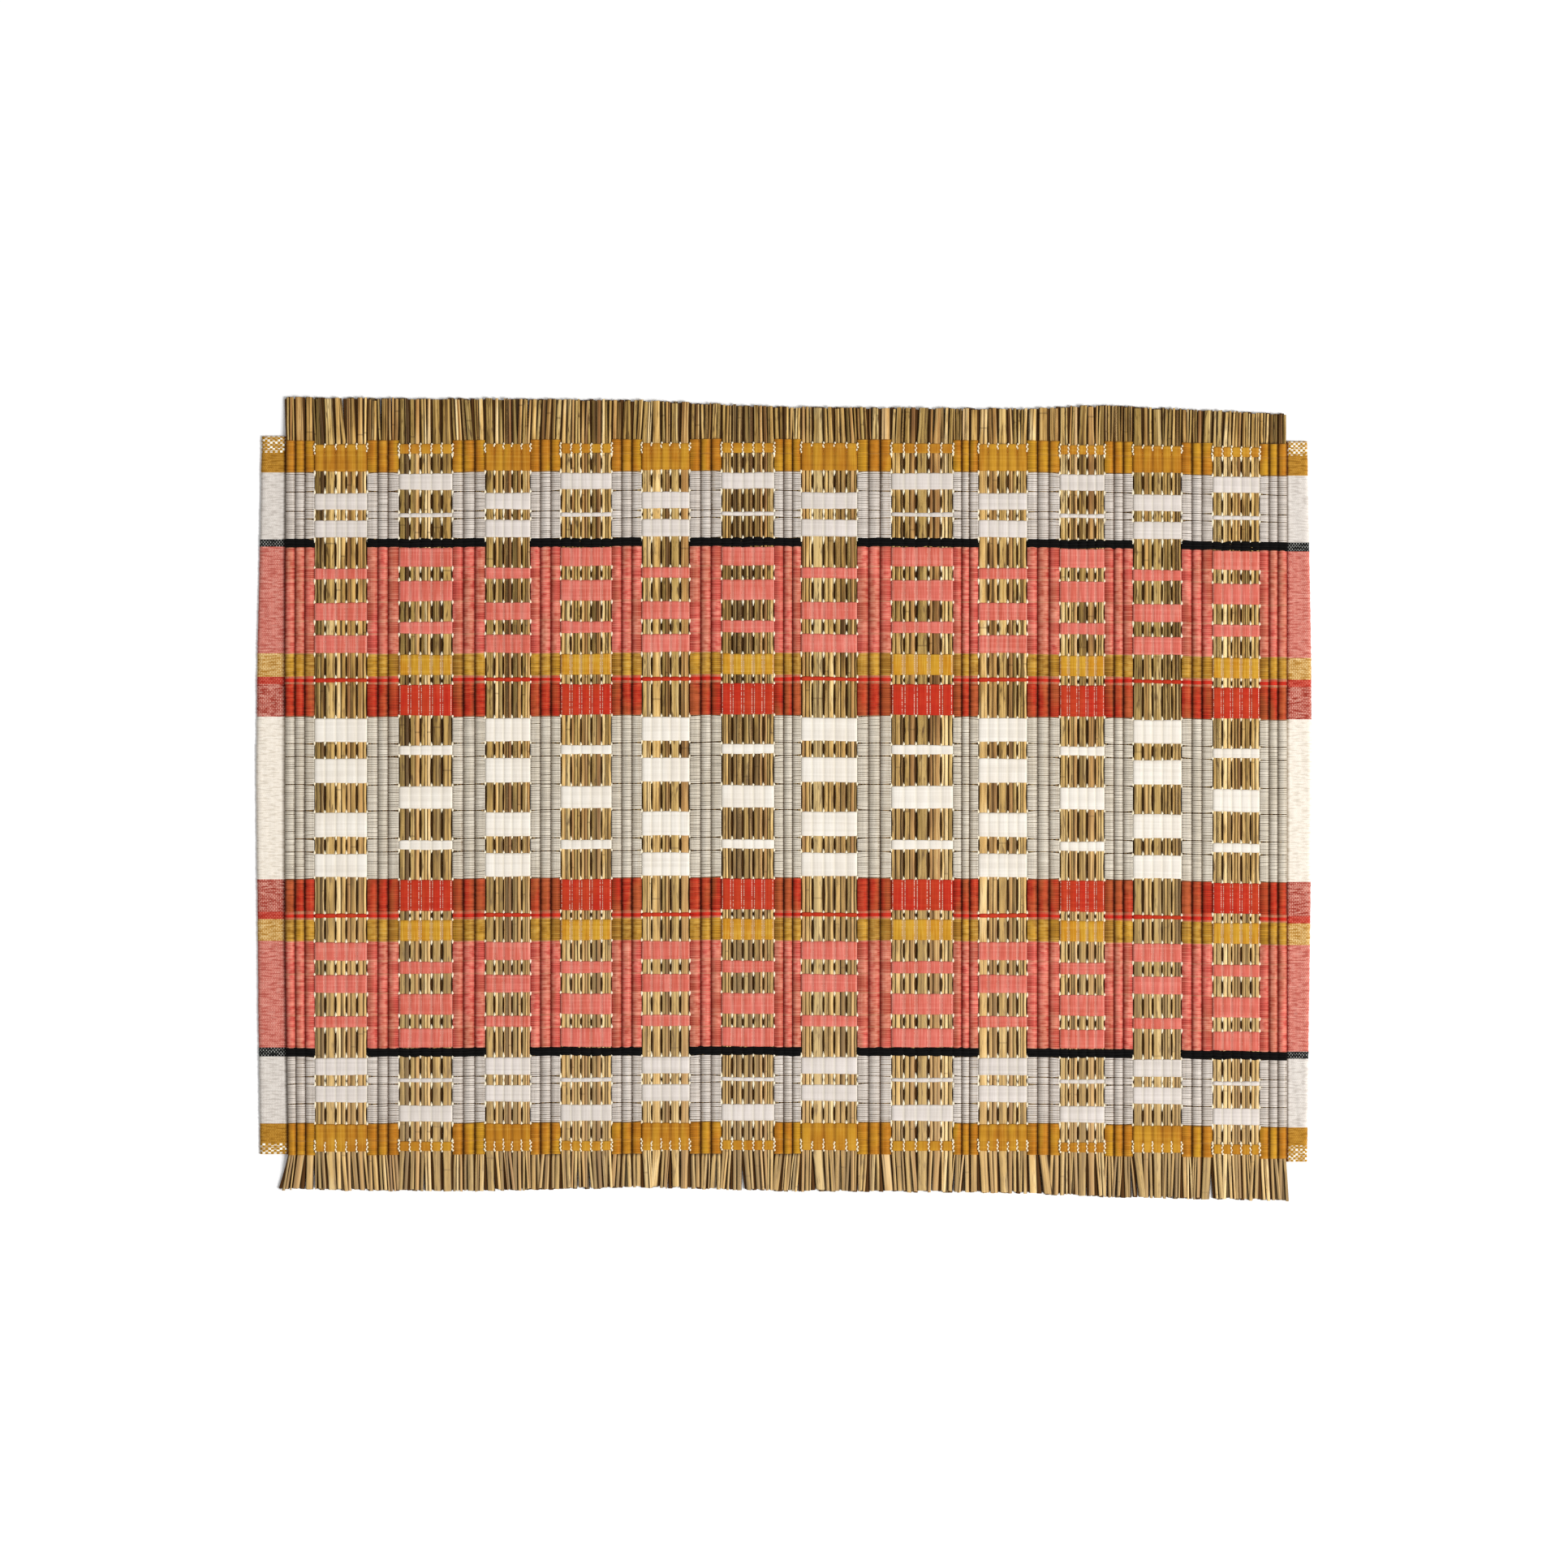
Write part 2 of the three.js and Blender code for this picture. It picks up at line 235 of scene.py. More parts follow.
def make_piece(name, groups, materials):
    """One mesh from groups of bars. A bar is a row of closed rings: quads join each ring to the next,
    and its first and last ring are capped. Seen along the bar with up at the top, a ring runs
    clockwise. Each point keeps its place in the weave (along, row, number), its edge, from 0 at the
    nearest groove or side to 1, and worn, how far its yarns stand apart, from 0 through 1 to 2. All
    points near the left end bend to the right by the bend at their row times its share at their
    place, and then move to the solids' own middle."""
    points, weave, edges, worn, corners, totals, slots, smooth = [], [], [], [], [], [], [], []
    base = 0
    for group in groups:
        rings = group["rings"]
        bars, steps, around = rings.shape[:3]
        at = base + np.arange(bars * steps * around).reshape(bars, steps, around)
        after = np.roll(at, -1, axis=2)
        quads = np.stack([at[:, :-1], after[:, :-1], after[:, 1:], at[:, 1:]], -1)
        colour = np.broadcast_to(np.asarray(group.get("slot", 0)), (bars, steps - 1))
        points.append(rings.reshape(-1, 3))
        weave.append(np.broadcast_to(group["weave"], rings.shape).reshape(-1, 3))
        edges.append(np.broadcast_to(group.get("edge", 1.0), rings.shape[:3]).ravel())
        worn.append(np.broadcast_to(group.get("worn", 0.0), rings.shape[:3]).ravel())
        corners += [quads.ravel(), at[:, 0, ::-1].ravel(), at[:, -1].ravel()]
        totals += [np.full(bars * (steps - 1) * around, 4), np.full(2 * bars, around)]
        slots += [np.repeat(colour.ravel(), around), colour[:, 0], colour[:, -1]]
        smooth += [np.ones(bars * (steps - 1) * around, bool), np.zeros(2 * bars, bool)]
        base += bars * steps * around
    points = np.concatenate(points)
    bend = np.interp(points[:, 1], BEND_AT, BEND)
    points[:, 0] += bend * np.interp(points[:, 0], BEND_SHARE_AT, BEND_SHARE)
    points += (SHIFT_X, SHIFT_Y, 0)
    corners = np.concatenate(corners).astype(np.int32)
    totals = np.concatenate(totals).astype(np.int32)
    mesh = bpy.data.meshes.new(name)
    mesh.vertices.add(len(points))
    mesh.vertices.foreach_set("co", (points * MM).ravel())
    mesh.loops.add(len(corners))
    mesh.loops.foreach_set("vertex_index", corners)
    mesh.polygons.add(len(totals))
    mesh.polygons.foreach_set("loop_start", np.concatenate([[0], np.cumsum(totals)[:-1]]).astype(np.int32))
    mesh.polygons.foreach_set("loop_total", totals)
    for material in materials:
        mesh.materials.append(material)
    mesh.polygons.foreach_set("material_index", np.concatenate(slots).astype(np.int32))
    mesh.polygons.foreach_set("use_smooth", np.concatenate(smooth))
    tag = mesh.attributes.new("weave", "FLOAT_VECTOR", "POINT")
    tag.data.foreach_set("vector", np.concatenate(weave).astype(np.float32).ravel())
    for label, values in (("edge", edges), ("worn", worn)):
        tag = mesh.attributes.new(label, "FLOAT", "POINT")
        tag.data.foreach_set("value", np.concatenate(values).astype(np.float32))
    mesh.update(calc_edges=True)
    mesh.validate()
    piece = add_object(name, mesh)
    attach(piece, "root")
    return piece


def stacked(x, y, z):
    """Three arrays, spread to one shape, as points or as places in the weave."""
    return np.stack(np.broadcast_arrays(x, y, z), -1)


def bar_along_y(x, y, z, half_x, half_z, section):
    """Rings carried along Y. x, y, z, half_x and half_z end in a step axis, and the section's points
    (across, up) are scaled by the two halves and set round the middle."""
    across, up = np.array(section, float).T
    x, y, z, half_x, half_z = (np.asarray(line)[..., None] for line in (x, y, z, half_x, half_z))
    return stacked(x + half_x * across, y, z + half_z * up)


def turned_under(group):
    """The same bars on the cloth's underside: heights mirrored in the thickness, rings turned round."""
    rings = group["rings"][..., ::-1, :].copy()
    rings[..., 2] = np.clip(THICK - rings[..., 2], 0, UNDERSIDE_TOP)
    edge = np.broadcast_to(group["edge"], group["rings"].shape[:3])[..., ::-1]
    return {**group, "rings": rings, "weave": group["weave"][..., ::-1, :], "edge": edge}


# Materials.


class Nodes:
    """Adds nodes to one tree. Wherever a node takes a value, that may be another node's output."""

    def __init__(self, tree):
        self.tree = tree

    def node(self, kind, inputs=None, **settings):
        """A node of one type, with its inputs by name or number and its settings by name."""
        node = self.tree.nodes.new(kind)
        for key, value in settings.items():
            setattr(node, key, value)
        for key, value in (inputs or {}).items():
            if isinstance(value, bpy.types.NodeSocket):
                self.tree.links.new(value, node.inputs[key])
            else:
                node.inputs[key].default_value = value
        return node

    def math(self, operation, first, second=0.0, third=0.0):
        """One sum of up to three values."""
        return self.node("ShaderNodeMath", {0: first, 1: second, 2: third}, operation=operation).outputs[0]

    def plus(self, first, *others):
        """The sum of all its values."""
        for other in others:
            first = self.math("ADD", first, other)
        return first

    def minus(self, first, second):
        """The first value less the second."""
        return self.math("SUBTRACT", first, second)

    def times(self, first, second):
        """The product of two values."""
        return self.math("MULTIPLY", first, second)

    def over(self, first, second):
        """The first value divided by the second."""
        return self.math("DIVIDE", first, second)

    def off_middle(self, value):
        """How far a value lies from halfway between two whole numbers, 0 to 0.5."""
        return self.math("ABSOLUTE", self.minus(self.math("FRACT", value), 0.5))

    def ranged(self, value, low, high, to_low, to_high):
        """A value carried from one range to another and held at the ends."""
        inputs = {0: value, 1: low, 2: high, 3: to_low, 4: to_high}
        return self.node("ShaderNodeMapRange", inputs, clamp=True).outputs[0]

    def mixed(self, factor, first, second):
        """The first colour where the factor is 0 and the second where it is 1 or more."""
        inputs = {0: factor, 6: first, 7: second}
        return self.node("ShaderNodeMix", inputs, data_type="RGBA", clamp_factor=True).outputs[2]

    def joined(self, x, y, z=0.0):
        """Three values as a vector."""
        return self.node("ShaderNodeCombineXYZ", {0: x, 1: y, 2: z}).outputs[0]

    def noise(self, parts, scales, detail):
        """Smooth noise about 0.5 over three values, each times its own scale."""
        vector = self.joined(*(self.times(part, scale) for part, scale in zip(parts, scales)))
        inputs = {"Vector": vector, "Scale": 1.0, "Detail": detail}
        return self.node("ShaderNodeTexNoise", inputs).outputs["Fac"]

    def chance(self, value, dimensions="1D"):
        """A fixed number from 0 to 1 for each value, or for each vector of two values."""
        inputs = {"W" if dimensions == "1D" else "Vector": value}
        return self.node("ShaderNodeTexWhiteNoise", inputs, noise_dimensions=dimensions).outputs["Value"]

    def attribute(self, name, output="Fac"):
        """What the mesh's points carry under a name."""
        return self.node("ShaderNodeAttribute", attribute_name=name).outputs[output]

    def group(self, tree, **inputs):
        """The outputs of a node group, with its inputs by name, _ for each space."""
        inputs = {label.replace("_", " "): value for label, value in inputs.items()}
        return self.node("ShaderNodeGroup", inputs, node_tree=tree).outputs


def new_group(name, inputs):
    """A shader node group whose named inputs have defaults. Gives its nodes, what its inputs bring in
    and the three parts of the place in the weave: along, row and number."""
    tree = bpy.data.node_groups.new(name, "ShaderNodeTree")
    for label, default in inputs.items():
        socket = tree.interface.new_socket(name=label, in_out="INPUT", socket_type="NodeSocketFloat")
        socket.default_value = default
    make = Nodes(tree)
    source = make.node("NodeGroupInput").outputs
    weave = make.attribute("weave", "Vector")
    return make, source, list(make.node("ShaderNodeSeparateXYZ", {0: weave}).outputs)


def close_group(make, values):
    """Gives a group its named outputs, each with its value, and hands back the group."""
    for label in values:
        make.tree.interface.new_socket(name=label, in_out="OUTPUT", socket_type="NodeSocketFloat")
    make.node("NodeGroupOutput", values)
    return make.tree


def make_yarn_rows():
    """Yarns side by side. Gap is 1 midway between two yarns, Ridge is each yarn's round, Tone is one
    number for each yarn, Fibre is fine streaks along it, Patch is slow change over the cloth, Streak
    is faint change across the yarns and Spot changes from yarn to yarn and from groove to groove."""
    make, source, parts = new_group("Yarn rows", {"Pitch": PITCH, "Gap width": 0.5})
    drift = make.noise(parts, (0.06, 0.3, 0.0), 1.0)
    rows = make.plus(make.over(parts[1], source["Pitch"]), make.times(drift, 0.18))
    yarn = make.math("FLOOR", rows)
    off = make.times(make.off_middle(rows), 2.0)
    return close_group(make, {
        "Gap": make.ranged(off, make.minus(1.0, source["Gap width"]), 1.0, 0.0, 1.0),
        "Ridge": make.minus(1.0, make.times(off, off)),
        "Tone": make.chance(make.joined(yarn, parts[2]), "2D"),
        "Fibre": make.noise(parts, (1.6, 9.0, 1.0), 3.0),
        "Patch": make.noise(parts, (0.1, 0.03, 0.77), 2.0),
        "Streak": make.noise(parts, (1.3, 0.05, 0.0), 2.0),
        "Spot": make.noise((parts[0], yarn, parts[2]), (0.3, 0.7, 1.0), 0.0),
    })


def make_plain_weave():
    """Plain weave: squares of warp and weft by turns. Weft is 1 where the weft lies on top and Stripe
    where it lies under, Round is each square's own swell, Tone is one number for each square and
    Uneven changes slowly."""
    inputs = {"Warp pitch": PITCH, "Weft pitch": WEFT_PITCH, "Weft width": 0.5, "Stripe": 0.0}
    make, source, parts = new_group("Plain weave", inputs)
    u = make.over(parts[0], source["Weft pitch"])
    v = make.over(parts[1], source["Warp pitch"])
    square = (make.math("FLOOR", u), make.math("FLOOR", v))
    odd = make.math("FLOORED_MODULO", make.plus(*square), 2.0)
    across, along = make.off_middle(u), make.off_middle(v)
    inside = make.minus(make.times(source["Weft width"], 0.5), across)
    on_top = make.ranged(odd, 0.0, 1.0, source["Stripe"], 1.0)
    far = make.plus(make.times(across, across), make.times(along, along))
    return close_group(make, {
        "Weft": make.times(on_top, make.ranged(inside, -0.06, 0.06, 0.0, 1.0)),
        "Round": make.ranged(far, 0.0, 0.4, 1.0, 0.0),
        "Tone": make.chance(make.joined(*square), "2D"),
        "Uneven": make.noise(parts, (0.24, 1.3, 0.0), 3.0),
    })


def make_reed_grain():
    """Split reed. Streak is fine lines along it, Tone is one number for a stalk and near its bundle's,
    Hue one number for a stalk, Drift slow change along it, Speck blotches, Knot a thin ring at each
    joint and Row the place across the mat. A stalk's number is ten times its bundle's and more."""
    joints_apart = 95.0
    make, source, parts = new_group("Reed grain", {"Fineness": 1.4})
    _, row, number = parts
    fine = (make.times(parts[0], source["Fineness"]), row, number)
    joint = make.plus(make.over(row, joints_apart), make.chance(make.plus(number, 11.3)))
    bundle = make.chance(make.math("FLOOR", make.over(number, 10.0)))
    tone = make.math("MULTIPLY_ADD", make.chance(number), 0.7, make.times(bundle, 0.5))
    return close_group(make, {
        "Streak": make.noise(fine, (1.0, 0.014, 7.31), 4.0),
        "Tone": make.minus(tone, 0.06),
        "Hue": make.chance(make.plus(number, 40.5)),
        "Drift": make.noise(parts, (0.2, 0.03, 5.7), 2.0),
        "Speck": make.noise(fine, (0.7, 0.14, 3.17), 3.0),
        "Knot": make.ranged(make.off_middle(joint), 0.0, 0.006, 1.0, 0.0),
        "Row": row,
    })


YARN_ROWS = make_yarn_rows()
PLAIN_WEAVE = make_plain_weave()
REED_GRAIN = make_reed_grain()


def screen(r, g, b):
    """A colour given as on a screen, 0 to 255, as linear light: the power 2.4 curve with its toe."""
    c = np.array((r, g, b)) / 255
    c = np.where(c <= 0.04045, c / 12.92, ((c + 0.055) / 1.055) ** 2.4)
    return (*map(float, c), 1.0)


def new_material(name, roughness, shine=0.5):
    """A plain material, with what adds its nodes and its shader."""
    material = bpy.data.materials.new(name)
    material.use_nodes = True
    shader = material.node_tree.nodes["Principled BSDF"]
    shader.inputs["Roughness"].default_value = roughness
    shader.inputs["Specular IOR Level"].default_value = shine
    return material, Nodes(material.node_tree), shader


def finish_material(make, shader, colour, height, strength, distance):
    """Colour to the shader, and a height in parts of the distance, in metres, to its normal."""
    make.tree.links.new(colour, shader.inputs["Base Color"])
    bump = make.node("ShaderNodeBump", {"Height": height, "Strength": strength, "Distance": distance})
    make.tree.links.new(bump.outputs[0], shader.inputs["Normal"])


CREAM_THREAD = screen(246, 236, 214)
COTTON_SHINE = 0.15
DOTTED_AT = 0.24


def make_cotton(
    name, tints, gap=0.0, groove=0.1, streaky=0.1, glow=0.0, dots=0.0, relief=0.5, parted=None,
    uneven=0.1, gap_width=0.5,
):
    """Cotton yarn lying side by side. Its tints are the body, a dark that is painted shade between the
    yarns and at the grooves and also tints darker yarns and streaks, a warmer patch and the pale of
    worn yarn. Gap is how strong the painted shade lines between the yarns are and gap_width how
    wide, groove the painted shade at the grooves, streaky the streaks across the yarns, uneven the
    change from yarn to yarn and relief the yarns' round. The lines are pale where yarns are worn
    apart, and parted is the colour of the reed that shows between two bands. The fine cream thread
    shows at the creases as a glow, or beside them as two dotted lines."""
    material, make, shader = new_material(name, 0.9, COTTON_SHINE)
    colour, dark, warm, pale = (screen(*tint) for tint in tints)
    rows = make.group(YARN_ROWS, Gap_width=gap_width)
    edge = make.attribute("edge")
    worn = make.attribute("worn")
    streak, tone, spot = rows["Streak"], rows["Tone"], rows["Spot"]
    lines = make.times(rows["Gap"], gap)
    lit = make.times(make.ranged(spot, 0.36, 0.5, 0.2, 1.0), make.ranged(worn, 0.0, 1.0, 0.1, 1.0))
    lit = make.times(lines, lit)
    body = make.mixed(make.ranged(rows["Patch"], 0.42, 0.58, 0.0, 1.0), colour, warm)
    body = make.mixed(make.plus(lit, make.ranged(streak, 0.5, 0.68, 0.0, 2 * streaky)), body, pale)
    body = make.mixed(make.ranged(tone, 0.7, 1.0, 0.0, 2 * uneven), body, pale)
    # Mixed towards the dark: painted shade between the yarns and at the grooves, and darker yarns, fibres
    # and streaks.
    shade = make.plus(
        make.ranged(tone, 0.0, 0.7, 1.6 * uneven, 0.0),
        make.ranged(rows["Fibre"], 0.3, 0.7, 0.1, 0.0),
        make.minus(lines, lit),
        make.ranged(streak, 0.32, 0.5, streaky, 0.0),
        make.ranged(edge, 0.0, 0.5, groove, 0.0),
    )
    body = make.mixed(shade, body, dark)
    if parted:
        ajar = make.times(make.ranged(worn, 1.2, 1.9, 0.0, 0.9), make.ranged(streak, 0.3, 0.6, 1.0, 0.5))
        body = make.mixed(ajar, body, screen(*parted))
    if glow:
        body = make.mixed(make.ranged(edge, 0.02, 0.3, glow, 0.0), body, CREAM_THREAD)
    if dots:
        line = make.math("ABSOLUTE", make.minus(edge, DOTTED_AT))
        line = make.ranged(line, 0.03, 0.08, dots, 0.0)
        line = make.times(line, make.ranged(rows["Ridge"], 0.35, 0.75, 0.0, 1.0))
        line = make.times(line, make.ranged(spot, 0.34, 0.52, 0.15, 1.0))
        body = make.mixed(line, body, CREAM_THREAD)
    height = make.plus(rows["Ridge"], make.times(rows["Fibre"], 0.5))
    finish_material(make, shader, body, height, relief, 0.00018)
    return material


def make_woven(
    name, warp, weft, width, pitch=WEFT_PITCH, stripe=0.45, hollow=0.15, rows_apart=PITCH, dappled=0.0,
):
    """Plain cotton cloth: warp of one colour crossed by weft of another, which is a share of its pitch
    wide. Stripe is how much of the weft shows where it lies under, hollow the painted shade between
    two crossings, and dappled how far the squares differ in brightness. There are a few pale
    scratches along the warp, and a deep painted shade where the cloth meets the first rib."""
    material, make, shader = new_material(name, 0.92, COTTON_SHINE)
    weave = make.group(
        PLAIN_WEAVE, Weft_width=width, Weft_pitch=pitch, Warp_pitch=rows_apart, Stripe=stripe,
    )
    rows = make.group(YARN_ROWS)
    uneven, tone = weave["Uneven"], weave["Tone"]
    fleck = make.times(weave["Weft"], make.ranged(tone, 0.1, 0.6, 1.0 - dappled, 1.0))
    fleck = make.times(fleck, make.ranged(uneven, 0.4, 0.54, 0.1, 1.1))
    pale_row = make.ranged(rows["Tone"], 0.84, 0.88, 0.0, 1.2)
    pale_row = make.times(pale_row, make.ranged(uneven, 0.4, 0.6, 0.1, 1.0))
    scratch = make.math("MAXIMUM", pale_row, make.ranged(rows["Spot"], 0.62, 0.7, 0.0, 1.0))
    scratch = make.times(make.times(rows["Ridge"], scratch), 1.3 * stripe)
    body = make.mixed(make.math("MAXIMUM", fleck, scratch), screen(*warp), screen(*weft))
    # Painted shade in the hollows between crossings and where the cloth meets the first rib, with uneven
    # darkening of the squares and the cloth.
    shade = make.plus(
        make.ranged(weave["Round"], 0.0, 0.7, hollow, 0.0),
        make.ranged(make.attribute("edge"), 0.0, 1.0, 1.0, 0.0),
        make.ranged(tone, 0.0, 1.0, 0.08, 0.0),
        make.ranged(uneven, 0.36, 0.52, 0.25, 0.0),
    )
    deep = [255 * 0.7 * (part / 255) ** 2.2 for part in warp]
    body = make.mixed(shade, body, screen(*deep))
    height = make.plus(weave["Round"], make.times(rows["Fibre"], 0.4))
    finish_material(make, shader, body, height, 0.3, 0.0002)
    return material


def make_reed():
    """Dry split reed: each stalk between brown, tan, straw and olive, streaked and blotched, with a
    dark ring at its joints and painted shade on its sides, and paler towards the mat's front."""
    material, make, shader = new_material("reed", 0.7, 0.2)
    grain = make.group(REED_GRAIN)
    streak, hue = grain["Streak"], grain["Hue"]
    drift = make.ranged(grain["Drift"], 0.3, 0.7, -0.3, 0.3)
    ramp = make.node("ShaderNodeValToRGB", {0: make.plus(grain["Tone"], drift)})
    shades = (
        (0.0, (74, 50, 20)), (0.2, (118, 87, 40)), (0.4, (160, 123, 60)),
        (0.58, (197, 155, 84)), (0.78, (228, 187, 114)), (1.0, (254, 224, 164)),
    )
    for number, (place, shade) in enumerate(shades):
        spot = ramp.color_ramp.elements[number] if number < 2 else ramp.color_ramp.elements.new(place)
        spot.position = place
        spot.color = screen(*shade)
    blotch = make.ranged(grain["Speck"], 0.46, 0.32, 0.0, 0.95)
    layers = (
        (make.ranged(hue, 0.5, 0.9, 0.0, 0.6), (150, 126, 64)),
        (make.ranged(hue, 0.4, 0.1, 0.0, 0.45), (176, 118, 70)),
        (make.ranged(streak, 0.48, 0.36, 0.0, 0.85), (72, 46, 18)),
        (make.ranged(streak, 0.55, 0.68, 0.0, 0.7), (232, 198, 132)),
        (make.times(make.ranged(hue, 0.2, 0.75, 0.2, 0.9), blotch), (74, 48, 20)),
        (make.times(grain["Knot"], 0.5), (64, 38, 16)),
        (make.ranged(grain["Row"], -165.0, 60.0, 0.3, 0.0), (222, 188, 138)),
        # Painted shade: darker towards each stalk's sides, and over the lower layer's tops.
        (make.ranged(make.attribute("edge"), 0.0, 0.68, 1.0, 0.0), (46, 28, 10)),
    )
    body = ramp.outputs[0]
    for factor, tint in layers:
        body = make.mixed(factor, body, screen(*tint))
    make.tree.links.new(make.ranged(streak, 0.3, 0.7, 0.75, 0.5), shader.inputs["Roughness"])
    finish_material(make, shader, body, make.minus(streak, grain["Knot"]), 0.6, 0.0003)
    return material


# Each cotton: its body, its dark, which is painted shade between its yarns and at the grooves and
# also tints darker yarns and streaks, its warmer patches and its palest.
BLACK = ((6, 4, 4), (1, 1, 1), (5, 4, 4), (12, 10, 9))
RED = ((190, 44, 24), (124, 20, 10), (186, 56, 26), (204, 84, 54))
FLOATS = {
    "mustard": ((196, 142, 38), (112, 62, 10), (180, 118, 28), (214, 166, 70)),
    "white": ((220, 210, 203), (150, 142, 132), (214, 204, 195), (232, 224, 218)),
    "black": BLACK,
    "pink": ((216, 110, 96), (160, 58, 42), (208, 102, 84), (230, 152, 136)),
    "red": RED,
    "cream": ((235, 228, 217), (176, 166, 150), (230, 221, 208), (244, 238, 228)),
    "yellow": ((202, 150, 40), (126, 78, 12), (198, 134, 28), (222, 182, 84)),
    "scarlet": RED,
}
GROUNDS = {
    "mustard": ((198, 144, 34), (88, 50, 6), (186, 116, 26), (212, 160, 66)),
    "white": ((217, 207, 197), (100, 88, 78), (209, 198, 187), (232, 224, 216)),
    "black": BLACK,
    "pink": ((220, 98, 86), (150, 44, 34), (192, 104, 78), (232, 160, 136)),
    "red": ((192, 44, 24), (66, 10, 4), (176, 84, 42), (206, 104, 68)),
    "cream": ((219, 209, 192), (104, 92, 76), (211, 200, 181), (234, 226, 211)),
    "yellow": ((202, 146, 40), (96, 60, 10), (168, 116, 40), (214, 176, 92)),
    "scarlet": ((206, 36, 22), (116, 18, 10), (200, 44, 26), (212, 76, 50)),
}

# How each cotton looks as a band on the reeds, and what sets it apart round the plain ribs. Groove
# is the painted shade at the grooves and creases, and gap the painted shade lines between the yarns.
FLOAT_LOOKS = {
    "mustard": {"groove": 0.5, "streaky": 0.16},
    "white": {"groove": 0.2, "streaky": 0.14, "glow": 0.3},
    "black": {"streaky": 0.0},
    "pink": {"groove": 0.2, "streaky": 0.26, "glow": 0.12, "dots": 0.2},
    "red": {"groove": 0.3, "streaky": 0.14, "dots": 0.7},
    "cream": {"groove": 0.15, "streaky": 0.12, "glow": 0.4},
    "yellow": {"groove": 0.3, "streaky": 0.24, "glow": 0.15, "dots": 0.4},
    "scarlet": {"groove": 0.2},
}
GROUND_LOOK = {"gap": 0.7, "groove": 0.6, "streaky": 0.08, "uneven": 0.12}
GROUND_LOOKS = {
    "mustard": {"gap": 0.45, "groove": 0.75, "parted": (150, 104, 50)},
    "pink": {"gap": 0.85, "uneven": 0.18, "gap_width": 0.85, "parted": (184, 132, 100)},
    "red": {"gap": 0.6, "groove": 0.7, "uneven": 0.14, "gap_width": 0.6, "parted": (168, 134, 98)},
    "yellow": {"uneven": 0.18, "gap_width": 0.7, "parted": (170, 138, 94)},
    "scarlet": {"parted": (176, 140, 106)},
}

# Each plain weave: warp, weft and weft width, then what make_woven takes next where it differs.
WOVENS = {
    "mustard": ((168, 116, 30), (202, 150, 62), 0.5),
    "white": ((214, 205, 196), (230, 223, 215), 0.5),
    "black": ((10, 10, 10), (166, 166, 160), 0.5, 0.67, 0.0),
    "pink": ((198, 100, 86), (230, 168, 152), 0.5, 0.5),
    "red": ((168, 54, 38), (228, 172, 154), 0.55, 0.67),
    "cream": ((238, 227, 211), (248, 240, 228), 0.5),
    "yellow": ((188, 134, 48), (236, 208, 150), 0.55, 0.67),
    "scarlet": ((186, 50, 36), (214, 120, 100), 0.5, 0.67, 0.2),
    "edge check": ((180, 128, 22), (255, 255, 240), 1.0, 1.12, 0.0, 0.0, 1.04, 0.75),
}
WOVEN_NAMES = (*COTTONS, "edge check")
float_cotton = [make_cotton(f"{c} yarn", FLOATS[c], relief=0.15, **FLOAT_LOOKS[c]) for c in COTTONS]
ground_cotton = [
    make_cotton(f"{c} ribbed yarn", GROUNDS[c], **{**GROUND_LOOK, **GROUND_LOOKS.get(c, {})})
    for c in COTTONS
]
woven_cotton = [make_woven(f"{c} plain weave", *WOVENS[c]) for c in WOVEN_NAMES]
reed = make_reed()
# A plain dark brown reed: painted shade for the lower stalk under each left groove, seen through the slits.
shaded_reed, _, shaded = new_material("shaded reed", 0.8, 0.1)
shaded.inputs["Base Color"].default_value = screen(84, 54, 24)


# Reeds.


# A stalk's section, and the painted shade on its corners in the upper and in the lower layer.
STALK = ((-1, 0), (-0.72, 0.78), (0, 1), (0.72, 0.78), (1, 0), (0.6, -1), (-0.6, -1))
STALK_EDGE = np.array((0.0, 0.6, 1.0, 0.6, 0.0, 0.3, 0.3))
SHADED_EDGE = np.array((0.0, 0.1, 0.2, 0.1, 0.0, 0.6, 0.6))

# Each layer's seed, the height of its stalks' middles, half their thickness, how far their tips
# settle, how far every other bundle lifts off its neighbours there, and the corners' painted shade.
UPPER_LAYER = (100, 2.0, 0.46, 0.65, 0.3, STALK_EDGE)
LOWER_LAYER = (200, 0.98, 0.55, 0.4, 0.0, SHADED_EDGE)

# Where a stalk's outer rings lie, from the cloth's edge to its tip.
OUTER = np.array((0.1, 0.35, 0.65, 0.985, 1.0))

# A bundle's width as a share of its rib's, and how round its top is, wrapped in yarn and loose.
WRAPPED_FULL = 0.82
WRAPPED_ROUND = 1.6
LOOSE_FULL = 0.93
LOOSE_ROUND = 0.9
# Half the width of the lower stalk under each left groove, in the painted-shade reed.
SHADED_HALF = 1.25

# How a stalk changes past the cloth's edge, and how far out each change is complete.
SPREAD_WITHIN = 5
WRAPPED_SPREAD = 0.13
TIP_NARROWING = 0.13
FIRST_DROP = 0.2
SETTLED_BY = 20
LIFT_WITHIN = 14
ABOVE_TABLE = 0.02
WINDOW_NARROWING = 0.09
# How much painted shade darkens the stalks hidden under the wrapping yarn.
HIDDEN_SHADE = 0.75


def stalk_rows(upper, kind):
    """The rows where a stalk is measured, and 1 at the middle of each bare window, otherwise 0."""
    if not upper or kind == "ground":
        return np.linspace(-HALF_DEPTH, HALF_DEPTH, 22), np.zeros(22)
    rows, bare = [-HALF_DEPTH], [0]
    for colour, low, high in runs_of(kind):
        if colour is None:
            rows += [low, (low + high) / 2, high]
            bare += [0, 1, 0]
    return np.array(rows + [HALF_DEPTH]), np.array(bare + [0])


